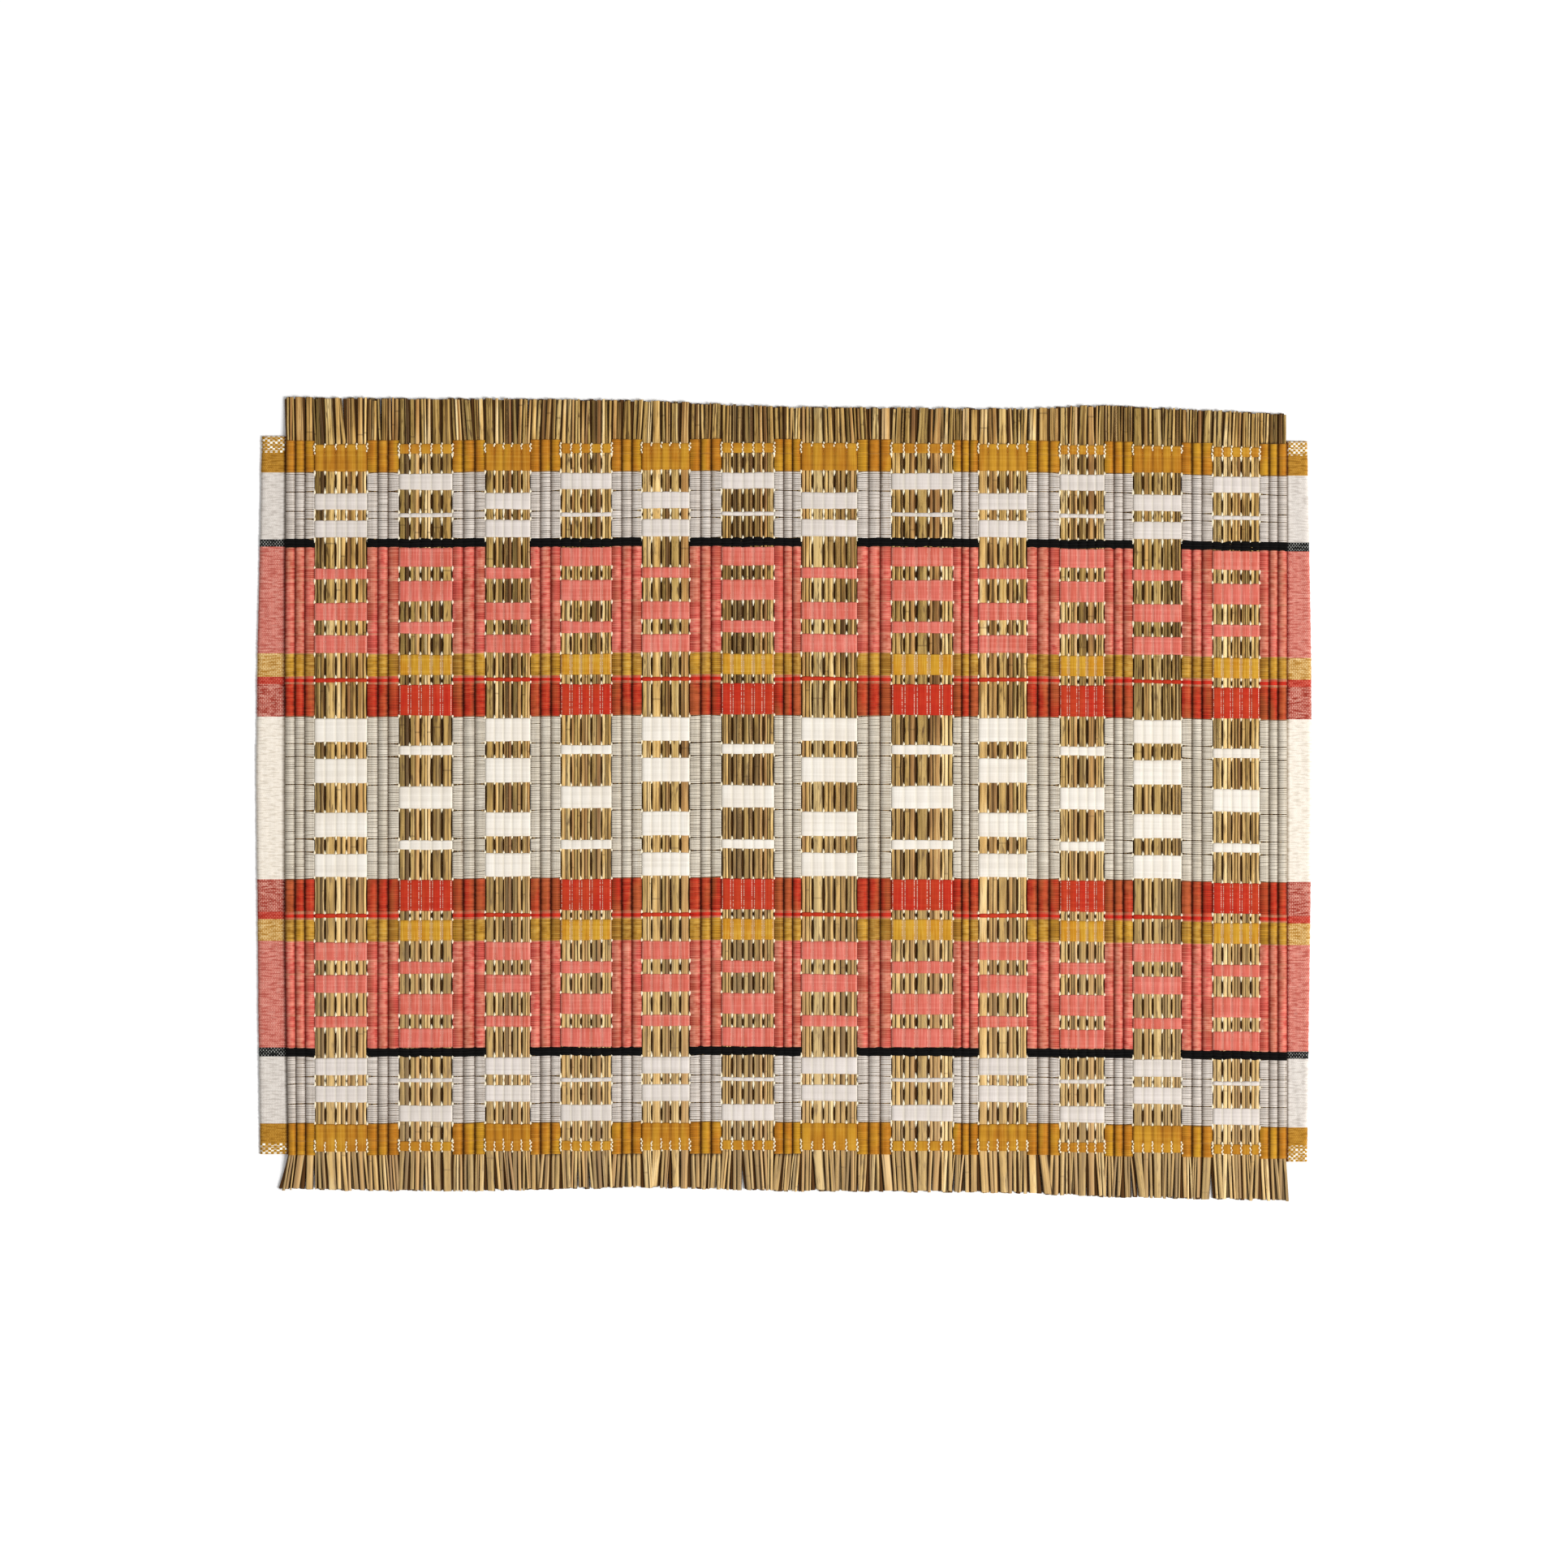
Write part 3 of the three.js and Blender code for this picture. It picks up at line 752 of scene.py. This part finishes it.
def stalks_of(rib, upper, bundle, seed):
    """The stalks of one bundle, as half width, place in the bundle from -0.5 to 0.5, and middle along
    the mat. The upper layer has one to three, side by side and of uneven width. The lower layer has
    one under the left groove, which takes the dark painted-shade reed, and one under the middle."""
    left, right = GROOVES[rib], GROOVES[rib + 1]
    middle = (left + right) / 2
    if not upper:
        first = (SHADED_HALF, -0.5, max(left, GROOVES[0] + SHADED_HALF))
        return [first, ((right - left) / 2 - 1.0, 0.0, middle)]
    count = 1 + int(stray(rib, seed) > -0.5) + int(stray(rib, seed) > 0.25)
    parts = 1 + 0.5 * stray(np.arange(count) + 5 * rib, seed + 1)
    cuts = np.concatenate([[0], np.cumsum(parts) / parts.sum()])
    places = (cuts[:-1] + cuts[1:]) / 2 - 0.5
    return list(zip(bundle * np.diff(cuts) / 2, places, middle + bundle * places))


def stalk_line(middle, number, inner):
    """Where a stalk's rings lie across the mat, from its front tip to its back tip, and how far each
    lies past the cloth's back and its front edge. Some tips are cut a little short."""
    edge_back = float(row_y(middle, HALF_DEPTH))
    edge_front = float(row_y(middle, -HALF_DEPTH))
    short = 0.5 * stray(number, 7) - 0.8 * (stray(number, 21) > 0.93)
    tip_back = np.interp(middle, TIPS_AT, TIPS_BACK) + short
    tip_front = np.interp(middle, TIPS_AT, TIPS_FRONT) - 0.6 * stray(number, 8)
    y = np.concatenate([
        edge_front + (tip_front - edge_front) * OUTER[::-1],
        row_y(middle, inner),
        edge_back + (tip_back - edge_back) * OUTER,
    ])
    return y, np.maximum(y - edge_back, 0), np.maximum(edge_front - y, 0)


def reed_group(upper, kind):
    """Flat stalks side by side in each bundle, one layer of two. Each is a flattened round carried
    along Y. It strays smoothly and is narrowest in the middle of a bare window. Past the cloth's
    edges it leans, more so at the front, narrows and settles towards the table. At the front corners
    it splays, and a bundle that yarn wraps opens out past both edges."""
    seed, high, tall, drop, lift, shades = UPPER_LAYER if upper else LOWER_LAYER
    inner, bare = stalk_rows(upper, kind)
    bare = np.concatenate([0 * OUTER, bare, 0 * OUTER])
    wrapped = kind == "ground"
    across = np.array(STALK)[:, 0]
    bars, tags, edges, slots = [], [], [], []
    for rib in range(RIB_COUNT):
        if RIB_KINDS[rib] != kind:
            continue
        full = WRAPPED_FULL if wrapped else LOOSE_FULL + 0.05 * stray(rib, 3)
        bundle = (GROOVES[rib + 1] - GROOVES[rib]) * full
        for part, (half, place, middle) in enumerate(stalks_of(rib, upper, bundle, seed)):
            number = 10 * (rib + seed) + part
            y, past_back, past_front = stalk_line(middle, number, inner)
            past = past_back + past_front
            near = np.minimum(past / SPREAD_WITHIN, 1)
            lean_back = 0.07 * smooth_noise(rib + 400, 11, 3.0) ** 3 + 0.035 * stray(number, 12) ** 3
            lean_front = 0.085 * smooth_noise(rib, 17, 1.4) + 0.06 * stray(number, 18) ** 3
            spread = (WRAPPED_SPREAD if wrapped else 0.0) * near
            narrow = 1 - WINDOW_NARROWING * bare
            x = middle + 0.1 * smooth_noise(y + 1000 * rib, 9, 24.0)
            x += np.where(y > 0, lean_back, lean_front) * past
            x += place * bundle * (spread + narrow - 1)
            x += np.interp(middle, SPLAY_AT, SPLAY) * past_front
            z = high - (WRAPPED_ROUND if wrapped else LOOSE_ROUND) * upper * place ** 2
            z = z - np.interp(past, (0, SPREAD_WITHIN, SETTLED_BY), (0, FIRST_DROP, drop))
            z = z + 0.05 * smooth_noise(y + 500 * number, 10, 30.0) + 0.06 * stray(number, 13)
            z = z + lift * (rib % 2) * np.clip(past / LIFT_WITHIN, 0, 1)
            half_x = half * (0.99 + 0.05 * smooth_noise(y + 300 * number, 14, 18.0)) * (1 + spread) * narrow
            half_x *= 1 - TIP_NARROWING * near
            half_z = np.full(len(y), tall * (1 + 0.12 * stray(number, 16)))
            half_x[[0, -1]] *= 0.9
            half_z[[0, -1]] *= 0.8
            ring = bar_along_y(x, y, z, half_x, half_z, STALK)
            ring[[0, -1], :, 1] += 0.12 * stray(number, 15) * across
            ring[..., 2] = np.maximum(ring[..., 2], ABOVE_TABLE)
            # Painted shade: stalks hidden under the wrapping yarn are darker, as in the shadow between the
            # yarns.
            hidden = wrapped * (np.abs(y) < HALF_DEPTH - 1)
            bars.append(ring)
            tags.append(stacked(across * half, y[:, None], number))
            edges.append(shades * (1 - HIDDEN_SHADE * hidden[:, None]))
            # The lower stalk under the left groove takes the painted-shade reed.
            slots.append([0 if upper or part else 1])
    return {
        "rings": np.array(bars), "weave": np.array(tags), "edge": np.array(edges), "slot": np.array(slots),
    }


upper_reeds = make_piece("upper_reeds", [reed_group(True, kind) for kind in RIBS], [reed])
lower_groups = [reed_group(False, kind) for kind in RIBS]
lower_reeds = make_piece("lower_reeds", lower_groups, [reed, shaded_reed])
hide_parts("reed_ends_back", "reed_ends_front")


# The woven cloth: plain ribs, turned hems, and the bands on its underside.


# Heights of the plain ribs' top where paler or black yarns cover it, and beside a pattern column.
SUNK_TOP = 1.3
BESIDE_TOP = 2.3

# The power of each round: the plain ribs' and the bands' over a rib.
GROUND_CREST = 0.62
BAND_CREST = 0.4

# Within what distance of its edge a band rises, and how far and within what its creases pinch it.
BAND_RISES_IN = 0.7
PINCH = 0.28
PINCH_WITHIN = 1.6

# How far a hem reaches under its rib, how far it rises there and how far its fold drops.
HEM_UNDER = 0.7
HEM_RISE = 0.35
FOLD_DROP = 0.55
HEM_POINTS = 12

# Heights of a band's yarns over the reeds and of what they lie on, at its two ends, and below.
BAND_BED = 2.35
BAND_END_TOP = 2.5
BAND_END_BED = 2.1
BAND_BOTTOM = 1.4
TOP_SHARES = (0, 0.1, 0.3, 0.5, 0.7, 0.9)
UNDER_SHARES = (0, 0.2, 0.8)


def ground_rows():
    """Rings along a rib: rows from the front to the back, the band that each lies in and 1 where the
    ring lies at the end of a band. Under pale yarns only the ends are kept, and the scarlet band has
    two rings at each end, 0.9 mm from its edge, between which its yarns stand apart."""
    rows, colours, ends = [], [], []
    for colour, _, low, high in ALL_BANDS:
        between = [] if colour in PALE else np.linspace(low + 0.7, high - 0.7, 2 + int((high - low) / 5))
        inner = [low + 0.05, *between, high - 0.05]
        apart = [1] + [0] * len(between) + [1]
        if colour == "scarlet":
            inner = [low + 0.05, low + 0.9, low + 1.0, high - 1.1, high - 1.0, high - 0.05]
            apart = [1, 1, 0, 0, 1, 1]
        rows += inner
        colours += [colour] * len(inner)
        ends += apart
    return np.array(rows), colours, np.array(ends)


def shows_float(column, rows):
    """1 at the rows where the pattern column beside a rib shows a float, otherwise 0."""
    if not 0 <= column < len(ALL_COLUMNS):
        return np.zeros(len(rows))
    kind = ALL_COLUMNS[column][0]
    shown_bands = [(low, high) for _, shown, low, high in ALL_BANDS if kind in shown]
    return np.array([any(low <= row < high for low, high in shown_bands) for row in rows])


def beside_pattern(share):
    """For each ground rib, 1 at the shares across it that lie beside a pattern column, otherwise 0."""
    found = np.zeros((len(GROUND_RIBS), len(share)))
    for column, left, right in GROUND_SIDES:
        found[left] = (share < 0.1) * (column > 0)
        found[right] = (share > 0.9) * (column < len(ALL_COLUMNS) - 1)
    return found


def ground_groups():
    """Yarn wrapped round each plain rib: the round of a rib on top, a shallow round below. Under the
    pale and black yarns, which are pieces of their own, the top sinks out of sight. The yarns lie
    close beside a float and stand apart elsewhere, most of all between two bands."""
    rows, colours, ends = ground_rows()
    sunk = np.array([colour in PALE or colour == "black" for colour in colours])
    share = np.array((0.0, 0.08, 0.25, 0.5, 0.75, 0.92, 1.0, 0.84, 0.5, 0.16))
    below = np.arange(len(share)) > 6
    number = np.array(GROUND_RIBS)[:, None, None]
    across = rows[:, None]
    x = across_rib(number, 0.008 + 0.984 * share)
    ripple = 0.04 * smooth_noise(across + 700 * number, 21, 2.6)
    top = GROOVE_TOP + (THICK - GROOVE_TOP + ripple) * crest(share, GROUND_CREST)
    beside = beside_pattern(share)[:, None]
    top = np.maximum(top, BESIDE_TOP * beside)
    top = np.where(sunk[:, None], SUNK_TOP, top)
    rings = stacked(x, row_y(x, across), np.where(below, np.where(share == 0.5, 0.0, 0.3), top))
    worn = np.ones(rings.shape[:3])
    for column, left, right in GROUND_SIDES:
        worn[left] -= shows_float(column - 1, rows)[:, None] * np.clip(1.3 - share, 0, 1)
        worn[right] -= shows_float(column + 1, rows)[:, None] * np.clip(0.3 + share, 0, 1)
    worn = np.where(ends[:, None], 1.7 + 0.3 * stray(number + across, 22), worn)
    slots = np.array([COTTONS.index(c) for c in colours])
    slots = np.where(sunk[:-1], slots[1:], slots[:-1])
    # Less painted shade at the groove beside a pattern column.
    edge = np.maximum(off_groove(share), 0.35 * beside)
    tag = stacked(x, across, number)
    return [{"rings": rings, "weave": tag, "edge": edge, "worn": worn, "slot": slots[None]}]


def band_group(colour, first, last, low, high, shares, coarse=False):
    """A band of yarn over the ribs from first to last: a low round over each rib with a crease at each
    groove, sunk to the reeds along its two edges, which pinch in at the creases."""
    shares = np.array(shares)
    x = np.append(across_rib(np.arange(first, last)[:, None], shares).ravel(), GROOVES[last])
    share = np.append(np.tile(shares, last - first), 0.0)
    round_up = crest(share, BAND_CREST)
    top = CREASE_TOP + (THICK - CREASE_TOP) * round_up
    bed = BAND_BED + 0.1 * round_up
    top[[0, -1]] = BAND_END_TOP
    bed[[0, -1]] = BAND_END_BED
    x = np.concatenate([x, [x[-1] - 0.3, x[0] + 0.3]])
    share = np.append(share, [0.0, 0.0])
    rise_to, bed = (np.append(line, [BAND_BOTTOM, BAND_BOTTOM]) for line in (top, bed))
    length = high - low
    if coarse:
        rows = np.concatenate([[low], np.linspace(low + 0.4, high - 0.4, 2 + int(length / 6)), [high]])
    elif length > 2.4:
        middle = np.linspace(low + 0.9, high - 0.9, max(2, round(length / 2.2)))
        rows = np.concatenate([[low, low + 0.12, low + 0.4], middle, [high - 0.4, high - 0.12, high]])
    else:
        rows = np.linspace(low, high, 7)
    depth = np.minimum(rows - low, high - rows)[:, None]
    rise = np.sqrt(np.clip(1 - (1 - np.clip(depth / BAND_RISES_IN, 0, 1)) ** 2, 0, 1))
    pinch = PINCH * (1 - np.append(round_up, [1, 1])) * np.clip(1 - depth / PINCH_WITHIN, 0, 1)
    across = rows[:, None] + np.where(rows[:, None] - low < high - rows[:, None], pinch, -pinch)
    rings = stacked(x, row_y(x, across), bed + (rise_to - bed) * rise)
    tag = stacked(x, across, first)
    # Edge sets the painted shade at the creases.
    return {
        "rings": rings[None], "weave": tag[None], "edge": off_groove(share), "slot": COTTONS.index(colour),
    }


def underside_bands():
    """Where the top shows bare reed, the underside shows the band."""
    groups = []
    for kind, first, last in PATTERN_COLUMNS:
        for colour, shown, low, high in ALL_BANDS:
            if kind not in shown:
                gap = GAP[colour] / 2
                band = band_group(colour, first, last, low + gap, high - gap, UNDER_SHARES, coarse=True)
                groups.append(turned_under(band))
    return groups


def hem_group(side):
    """A plain-woven end, turned back on itself: a thin section carried across the mat whose outer
    line is wavy. Each warp and weft crossing is one point, up and down by turns. The fold at the
    outer edge is rounded down, and the other side rises a little and reaches under the first or last
    rib."""
    start, end = HEM_ENDS[side]
    rows = np.arange(start, end + PITCH / 2, (end - start) / round((end - start) / PITCH))[:, None]
    root = GROOVES[0] + HEM_UNDER if side == "left" else GROOVES[-1] - HEM_UNDER
    edge = np.interp(rows, HEMS_AT, HEM_LEFT if side == "left" else HEM_RIGHT)
    turn = np.arange(len(rows))[:, None]
    edge = edge + 0.12 * stray(turn, 52)
    inwards = np.linspace(0, 1, HEM_POINTS)
    if side == "right":
        inwards = inwards[::-1]
    x = edge + (root - edge) * inwards
    up_or_down = 1 - 2 * ((turn + np.arange(HEM_POINTS)) % 2)
    high = HEM_THICK - 0.08 + 0.08 * up_or_down + 0.1 * smooth_noise(rows + 9 * x, 51, 9.0)
    high = high - FOLD_DROP * np.clip(1 - inwards / 0.06, 0, 1)
    high = high + HEM_RISE * np.clip((inwards - 0.9) / 0.1, 0, 1)
    top = stacked(x, rows, high)
    low = top[:, [-1, 0]].copy()
    low[..., 2] = 0.0
    rings = np.concatenate([top, low], 1)
    tag = stacked(rings[..., 0], rings[..., 1] - CENTRE_Y + np.interp(rings[..., 0], SAG_AT, SAG), 0.0)
    slots = []
    for row in (rows[:-1, 0] + rows[1:, 0]) / 2 - CENTRE_Y + float(np.interp(root, SAG_AT, SAG)):
        inside = [colour for colour, _, low_row, high_row in ALL_BANDS if low_row <= row < high_row]
        name = inside[0] if inside and abs(row) < CHECK_FROM else "edge check"
        slots.append(WOVEN_NAMES.index(name))
    # Edge sets the painted shade where the hem meets the first or last rib.
    edge = np.clip((np.abs(rings[..., 0] - root) - 0.9) / 0.8, 0, 1)
    return {"rings": rings[None], "weave": tag[None], "edge": edge[None], "slot": np.array(slots)[None]}


def with_slots_after(groups, count):
    """The same groups, with their material numbers moved up."""
    return [{**group, "slot": np.asarray(group["slot"]) + count} for group in groups]


cloth = make_piece(
    "woven_cloth",
    ground_groups()
    + with_slots_after(underside_bands(), len(COTTONS))
    + with_slots_after([hem_group("left"), hem_group("right")], 2 * len(COTTONS)),
    [*ground_cotton, *float_cotton, *woven_cotton],
)
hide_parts("woven_mat")


# Pale yarns over the plain ribs.


YARN = ((1, 0), (0.74, 1), (-0.74, 1), (-1, 0))
YARN_HALF = 0.415
CROWDING = 0.36
CROWD_WITHIN = 1.9


def pale_yarn_bars(pale):
    """One arched yarn for each row of one colour and plain rib: a low flat-topped section carried
    from groove to groove, low at both and high between. Rows crowd together beside a pattern column,
    which opens a gap between two bands there."""
    rows, middles, halves = [], [], []
    for colour, _, low, high in ALL_BANDS:
        if colour != pale:
            continue
        count = round((high - low - 0.3) / PITCH)
        rows += list(low + 0.15 + (np.arange(count) + 0.5) * (high - low - 0.3) / count)
        middles += [(low + high) / 2] * count
        halves += [(high - low) / 2] * count
    rows, middles, halves = (np.array(line)[None, :, None] for line in (rows, middles, halves))
    number = np.array(GROUND_RIBS)[:, None, None]
    share = np.array((0.01, 0.15, 0.5, 0.85, 0.99))
    beside = beside_pattern(share)[:, None]
    base = np.array((1.25, 2.16, 2.54, 2.16, 1.25)) + 1.0 * beside
    x = across_rib(number, share)
    near = np.exp(-np.abs(x[..., None] - PATTERN_EDGES).min(-1) / CROWD_WITHIN)
    crowd = 1 - CROWDING * near * (0.8 + 0.8 * stray(number + 3 * middles, 31)) / halves
    row = middles + (rows - middles) * crowd
    row = row + 0.08 * stray(number * 1.7 + rows * 5.3, 32)
    wide = YARN_HALF * (1 + 0.08 * stray(number * 2.3 + rows * 3.1, 33))
    tall = 0.3 + 0.06 * stray(number + rows * 7.7, 34)
    # Less painted shade at the groove beside a pattern column.
    edge = np.broadcast_to(np.maximum(off_groove(share), 0.5 * beside), row.shape)
    x, row, base, wide, tall, edge = (line[..., None] for line in (x, row, base, wide, tall, edge))
    across, up = np.array(YARN).T
    rings = stacked(x, row_y(x, row + across * wide), base + up * tall)
    tag = np.broadcast_to(stacked(x, rows[..., None], number[..., None]), rings.shape)
    rings, tag, edge = (line.reshape(-1, *line.shape[2:]) for line in (rings, tag, edge))
    return {"rings": rings, "weave": tag, "edge": edge}


pale_yarns = [
    make_piece(
        f"{pale}_yarns",
        [pale_yarn_bars(pale)],
        [make_cotton(f"{pale} rib yarn", GROUNDS[pale], groove=0.25)],
    )
    for pale in PALE
]


# Bands on top.


def top_bands():
    """Each stretch of one colour that a pattern column shows, apart from the black yarns."""
    groups = []
    for kind, first, last in PATTERN_COLUMNS:
        for colour, low, high in runs_of(kind):
            if colour not in (None, "black"):
                gaps = [SELVEDGE if abs(row) == HALF_DEPTH else GAP[colour] / 2 for row in (low, high)]
                groups.append(band_group(colour, first, last, low + gaps[0], high - gaps[1], TOP_SHARES))
    return groups


bands = make_piece("top_bands", top_bands(), float_cotton)


# Black cords.


STRANDS = 3
CORD_HIGH = 2.1
CORD_DIVE = 1.8
CORD_BURIED = 1.4
CORD_RISE = 0.4
CORD_CREST = 0.5
CORD_FULL = 1.14
CORD_FLAT = 0.75


def cord_runs():
    """The stretches where the black yarns lie on top: between one a column and the next."""
    starts = [0] + [last for kind, first, last in ALL_COLUMNS if kind == "a"]
    ends = [first for kind, first, last in ALL_COLUMNS if kind == "a"] + [RIB_COUNT]
    return list(zip(starts, ends))


def cord_groups():
    """Thick black yarns side by side: rounds carried along X that ride over each rib, dip between
    two and dive at the ends of a run, knobbly by a fixed noise."""
    _, _, low, high = next(band for band in ALL_BANDS if band[0] == "black" and band[2] > 0)
    wide = (high - low) / STRANDS
    turn = np.radians(np.arange(180, -180, -60))
    plain = np.isin(np.arange(-1, RIB_COUNT + 1), GROUND_RIBS)
    share = np.array((0.0, 0.1, 0.25, 0.42, 0.58, 0.75, 0.9))
    groups = []
    for mirrored in (1, -1):
        for strand in range(STRANDS):
            row = mirrored * (low + wide * (strand + 0.5))
            for first, last in cord_runs():
                place = (np.arange(first, last)[:, None] + share).ravel()
                place = np.concatenate([[first - 0.2, first - 0.07], place, [last, last + 0.07, last + 0.2]])
                x = np.interp(place, np.arange(RIB_COUNT + 1), GROOVES)
                round_up = crest(place - np.floor(place), CORD_CREST)
                in_ground = plain[np.floor(place).astype(int) + 1]
                z = CORD_HIGH + CORD_RISE * round_up
                z[[0, -1]] = CORD_BURIED
                z[[1, -2]] = CORD_DIVE
                knob = 1 + 0.16 * smooth_noise(x + 97 * strand + 31 * mirrored, 41, 1.3)
                lobe = np.where(in_ground, 1.08 + 0.06 * round_up, 0.92 + 0.24 * round_up)
                radius = (CORD_FULL * wide / 2 * lobe * knob)[:, None]
                sway = 0.12 * smooth_noise(x + 53 * strand, 42, 2.4) + 0.25 * smooth_noise(x, 43, 4.0)
                y = (row_y(x, row) + sway)[:, None] - radius * np.cos(turn)
                rings = stacked(x[:, None], y, z[:, None] + CORD_FLAT * radius * np.sin(turn))
                tag = stacked(x[:, None], row + radius * np.cos(turn), strand)
                groups.append({"rings": rings[None], "weave": tag[None], "slot": COTTONS.index("black")})
    return groups


cords = make_piece("black_yarns", cord_groups(), float_cotton)


# The fine cream thread.


# How long the thread's teeth are beside a float of each colour: behind it and in front of it.
TEETH = {
    "white": (2.0, 2.8), "cream": (1.4, 1.3), "pink": (1.4, 2.0), "red": (1.2, 1.3), "yellow": (1.3, 1.5),
    "mustard": (1.4, 2.0), "black": (1.2, 1.5), "scarlet": (1.2, 1.3),
}
TOOTH = ((-1, 0), (0, 1), (1, 0))
TOOTH_HALF = 0.68
TOOTH_BEHIND = 0.35
LUMP = ((-1, 0), (0, 1), (1, 0), (0, -1))
LUMP_HIGH = 2.75
LUMP_HALVES = (0.52, 0.55, 0.35)
THREADS = {
    "cream": ((252, 242, 216), (196, 174, 136), (246, 232, 200), (255, 250, 234)),
    "orange": ((182, 112, 22), (120, 66, 10), (170, 98, 16), (196, 130, 34)),
}


def tooth_bars():
    """Where the cream thread shows: at both ends of each bare window a tooth in every groove, full at
    the float's edge and drawn out to a point. A triangle carried along Y."""
    grooves, rows, ways, lengths = [], [], [], []
    for kind, first, last in PATTERN_COLUMNS:
        runs = runs_of(kind)
        for before, (colour, low, high), after in zip(runs, runs[1:], runs[2:]):
            if colour is not None:
                continue
            for groove in range(first, last + 1):
                grooves += [groove] * 2
                rows += [low - GAP[before[0]] / 2, high + GAP[after[0]] / 2]
                ways += [1, -1]
                lengths += [TEETH[before[0]][0], TEETH[after[0]][1]]
    ways, rows = np.array(ways, float)[:, None], np.array(rows)[:, None]
    number = np.arange(len(grooves))[:, None]
    lengths = np.array(lengths)[:, None] * (1.15 + 0.3 * stray(number, 61))
    along = np.array((0.0, 0.35, 0.65, 1.0))
    swell = np.array((1.0, 0.9, 0.6, 0.08)) * TOOTH_HALF
    high = np.array((2.05, 2.3, 2.2, 1.8))
    x = GROOVES[grooves][:, None] + 0.12 * stray(number, 62) * along
    row = rows + ways * ((lengths + TOOTH_BEHIND) * along - TOOTH_BEHIND)
    rings = bar_along_y(x, row_y(x, row), high, swell, 0.25 + 0.3 * swell, TOOTH)
    towards_front = ways[:, 0] < 0
    rings[towards_front] = rings[towards_front][:, ::-1]
    return {"rings": rings, "weave": rings[..., [0, 1, 1]]}


def lump_bars(x, y, size):
    """Small lumps of thread: a diamond section swelling from a third to full and back along Y."""
    along = np.array((-1.0, 0.0, 1.0))
    swell = np.array((0.35, 1.0, 0.35))
    half_x, half_y, half_z = LUMP_HALVES
    y = y[:, None] + half_y * size * along
    rings = bar_along_y(x[:, None], y, LUMP_HIGH, half_x * size * swell, half_z * swell, LUMP)
    return {"rings": rings, "weave": rings[..., [0, 1, 1]]}


def selvedge_beads():
    """The cream thread crossing the outer mustard yarns: a zigzag of lumps in each pattern groove,
    with more of them in the b columns, at the sides of a column and along the front, and small orange
    lumps of yarn after it."""
    groups = []
    for kind, first, last in PATTERN_COLUMNS:
        grooves = np.arange(first, last + 1)
        at_side = np.isin(grooves, (first, last))
        for way in (1, -1):
            beads = 2 + (grooves % 2) + 2 * at_side + 6 * (kind == "b") + 3 * (way < 0)
            for turn in range(6):
                for cream in (True, False):
                    some = grooves[(turn < beads) == cream]
                    if len(some) == 0:
                        continue
                    x = GROOVES[some] + 0.22 * (-1) ** turn + 0.1 * stray(some, 70 + turn)
                    row = way * (HALF_DEPTH - 1.9 - 1.0 * turn + 0.2 * stray(some, 80 + turn))
                    group = lump_bars(x, row_y(x, row), 1.0 if cream else 0.65)
                    groups.append({**group, "slot": 0 if cream else 1})
    return groups


thread = make_piece(
    "cream_thread",
    [tooth_bars(), *selvedge_beads()],
    [make_cotton(f"{colour} thread", tints) for colour, tints in THREADS.items()],
)


# Studio, in metres.


def make_floor():
    """A plain pale table: a square sheet just under the mat."""
    mesh = bpy.data.meshes.new("floor")
    half, low = 3.0, -0.0002
    corners = [(-half, -half, low), (half, -half, low), (half, half, low), (-half, half, low)]
    mesh.from_pydata(corners, [], [(0, 1, 2, 3)])
    material, _, shader = new_material("floor", 0.9)
    shader.inputs["Base Color"].default_value = screen(255, 255, 255)
    mesh.materials.append(material)
    floor = add_object("floor", mesh)


def make_light(name, place, size, power):
    """A soft square lamp that faces the mat's middle."""
    data = bpy.data.lights.new(name, "AREA")
    data.shape = "SQUARE"
    data.size = size
    data.energy = power
    lamp = add_object(name, data)
    lamp.location = place
    lamp.rotation_mode = "QUATERNION"
    lamp.rotation_quaternion = (-lamp.location).to_track_quat("-Z", "Y")


def make_camera():
    """Straight above, so far off that the whole photo frame is the width that its scale gives."""
    distance = 2.4
    data = bpy.data.cameras.new("camera")
    data.sensor_width = 36.0
    data.lens = data.sensor_width * distance / (PHOTO_PX * MM_PER_PX * MM)
    data.clip_end = 20.0
    camera = add_object("camera", data)
    x = (PHOTO_PX / 2 - MAT_MIDDLE_PX[0]) * MM_PER_PX + SHIFT_X
    y = (MAT_MIDDLE_PX[1] - PHOTO_PX / 2) * MM_PER_PX + SHIFT_Y
    camera.location = (x * MM, y * MM, distance)
    bpy.context.scene.camera = camera


def make_world():
    """Even white light from all round."""
    world = bpy.data.worlds.new("studio")
    world.use_nodes = True
    back = world.node_tree.nodes["Background"]
    back.inputs["Color"].default_value = (1.0, 1.0, 1.0, 1.0)
    back.inputs["Strength"].default_value = 0.48
    bpy.context.scene.world = world


make_floor()
make_light("key", (3.5, -1.1, 3.3), 2.0, 264.0)
make_world()
make_camera()
bpy.context.scene.view_settings.view_transform = "Standard"
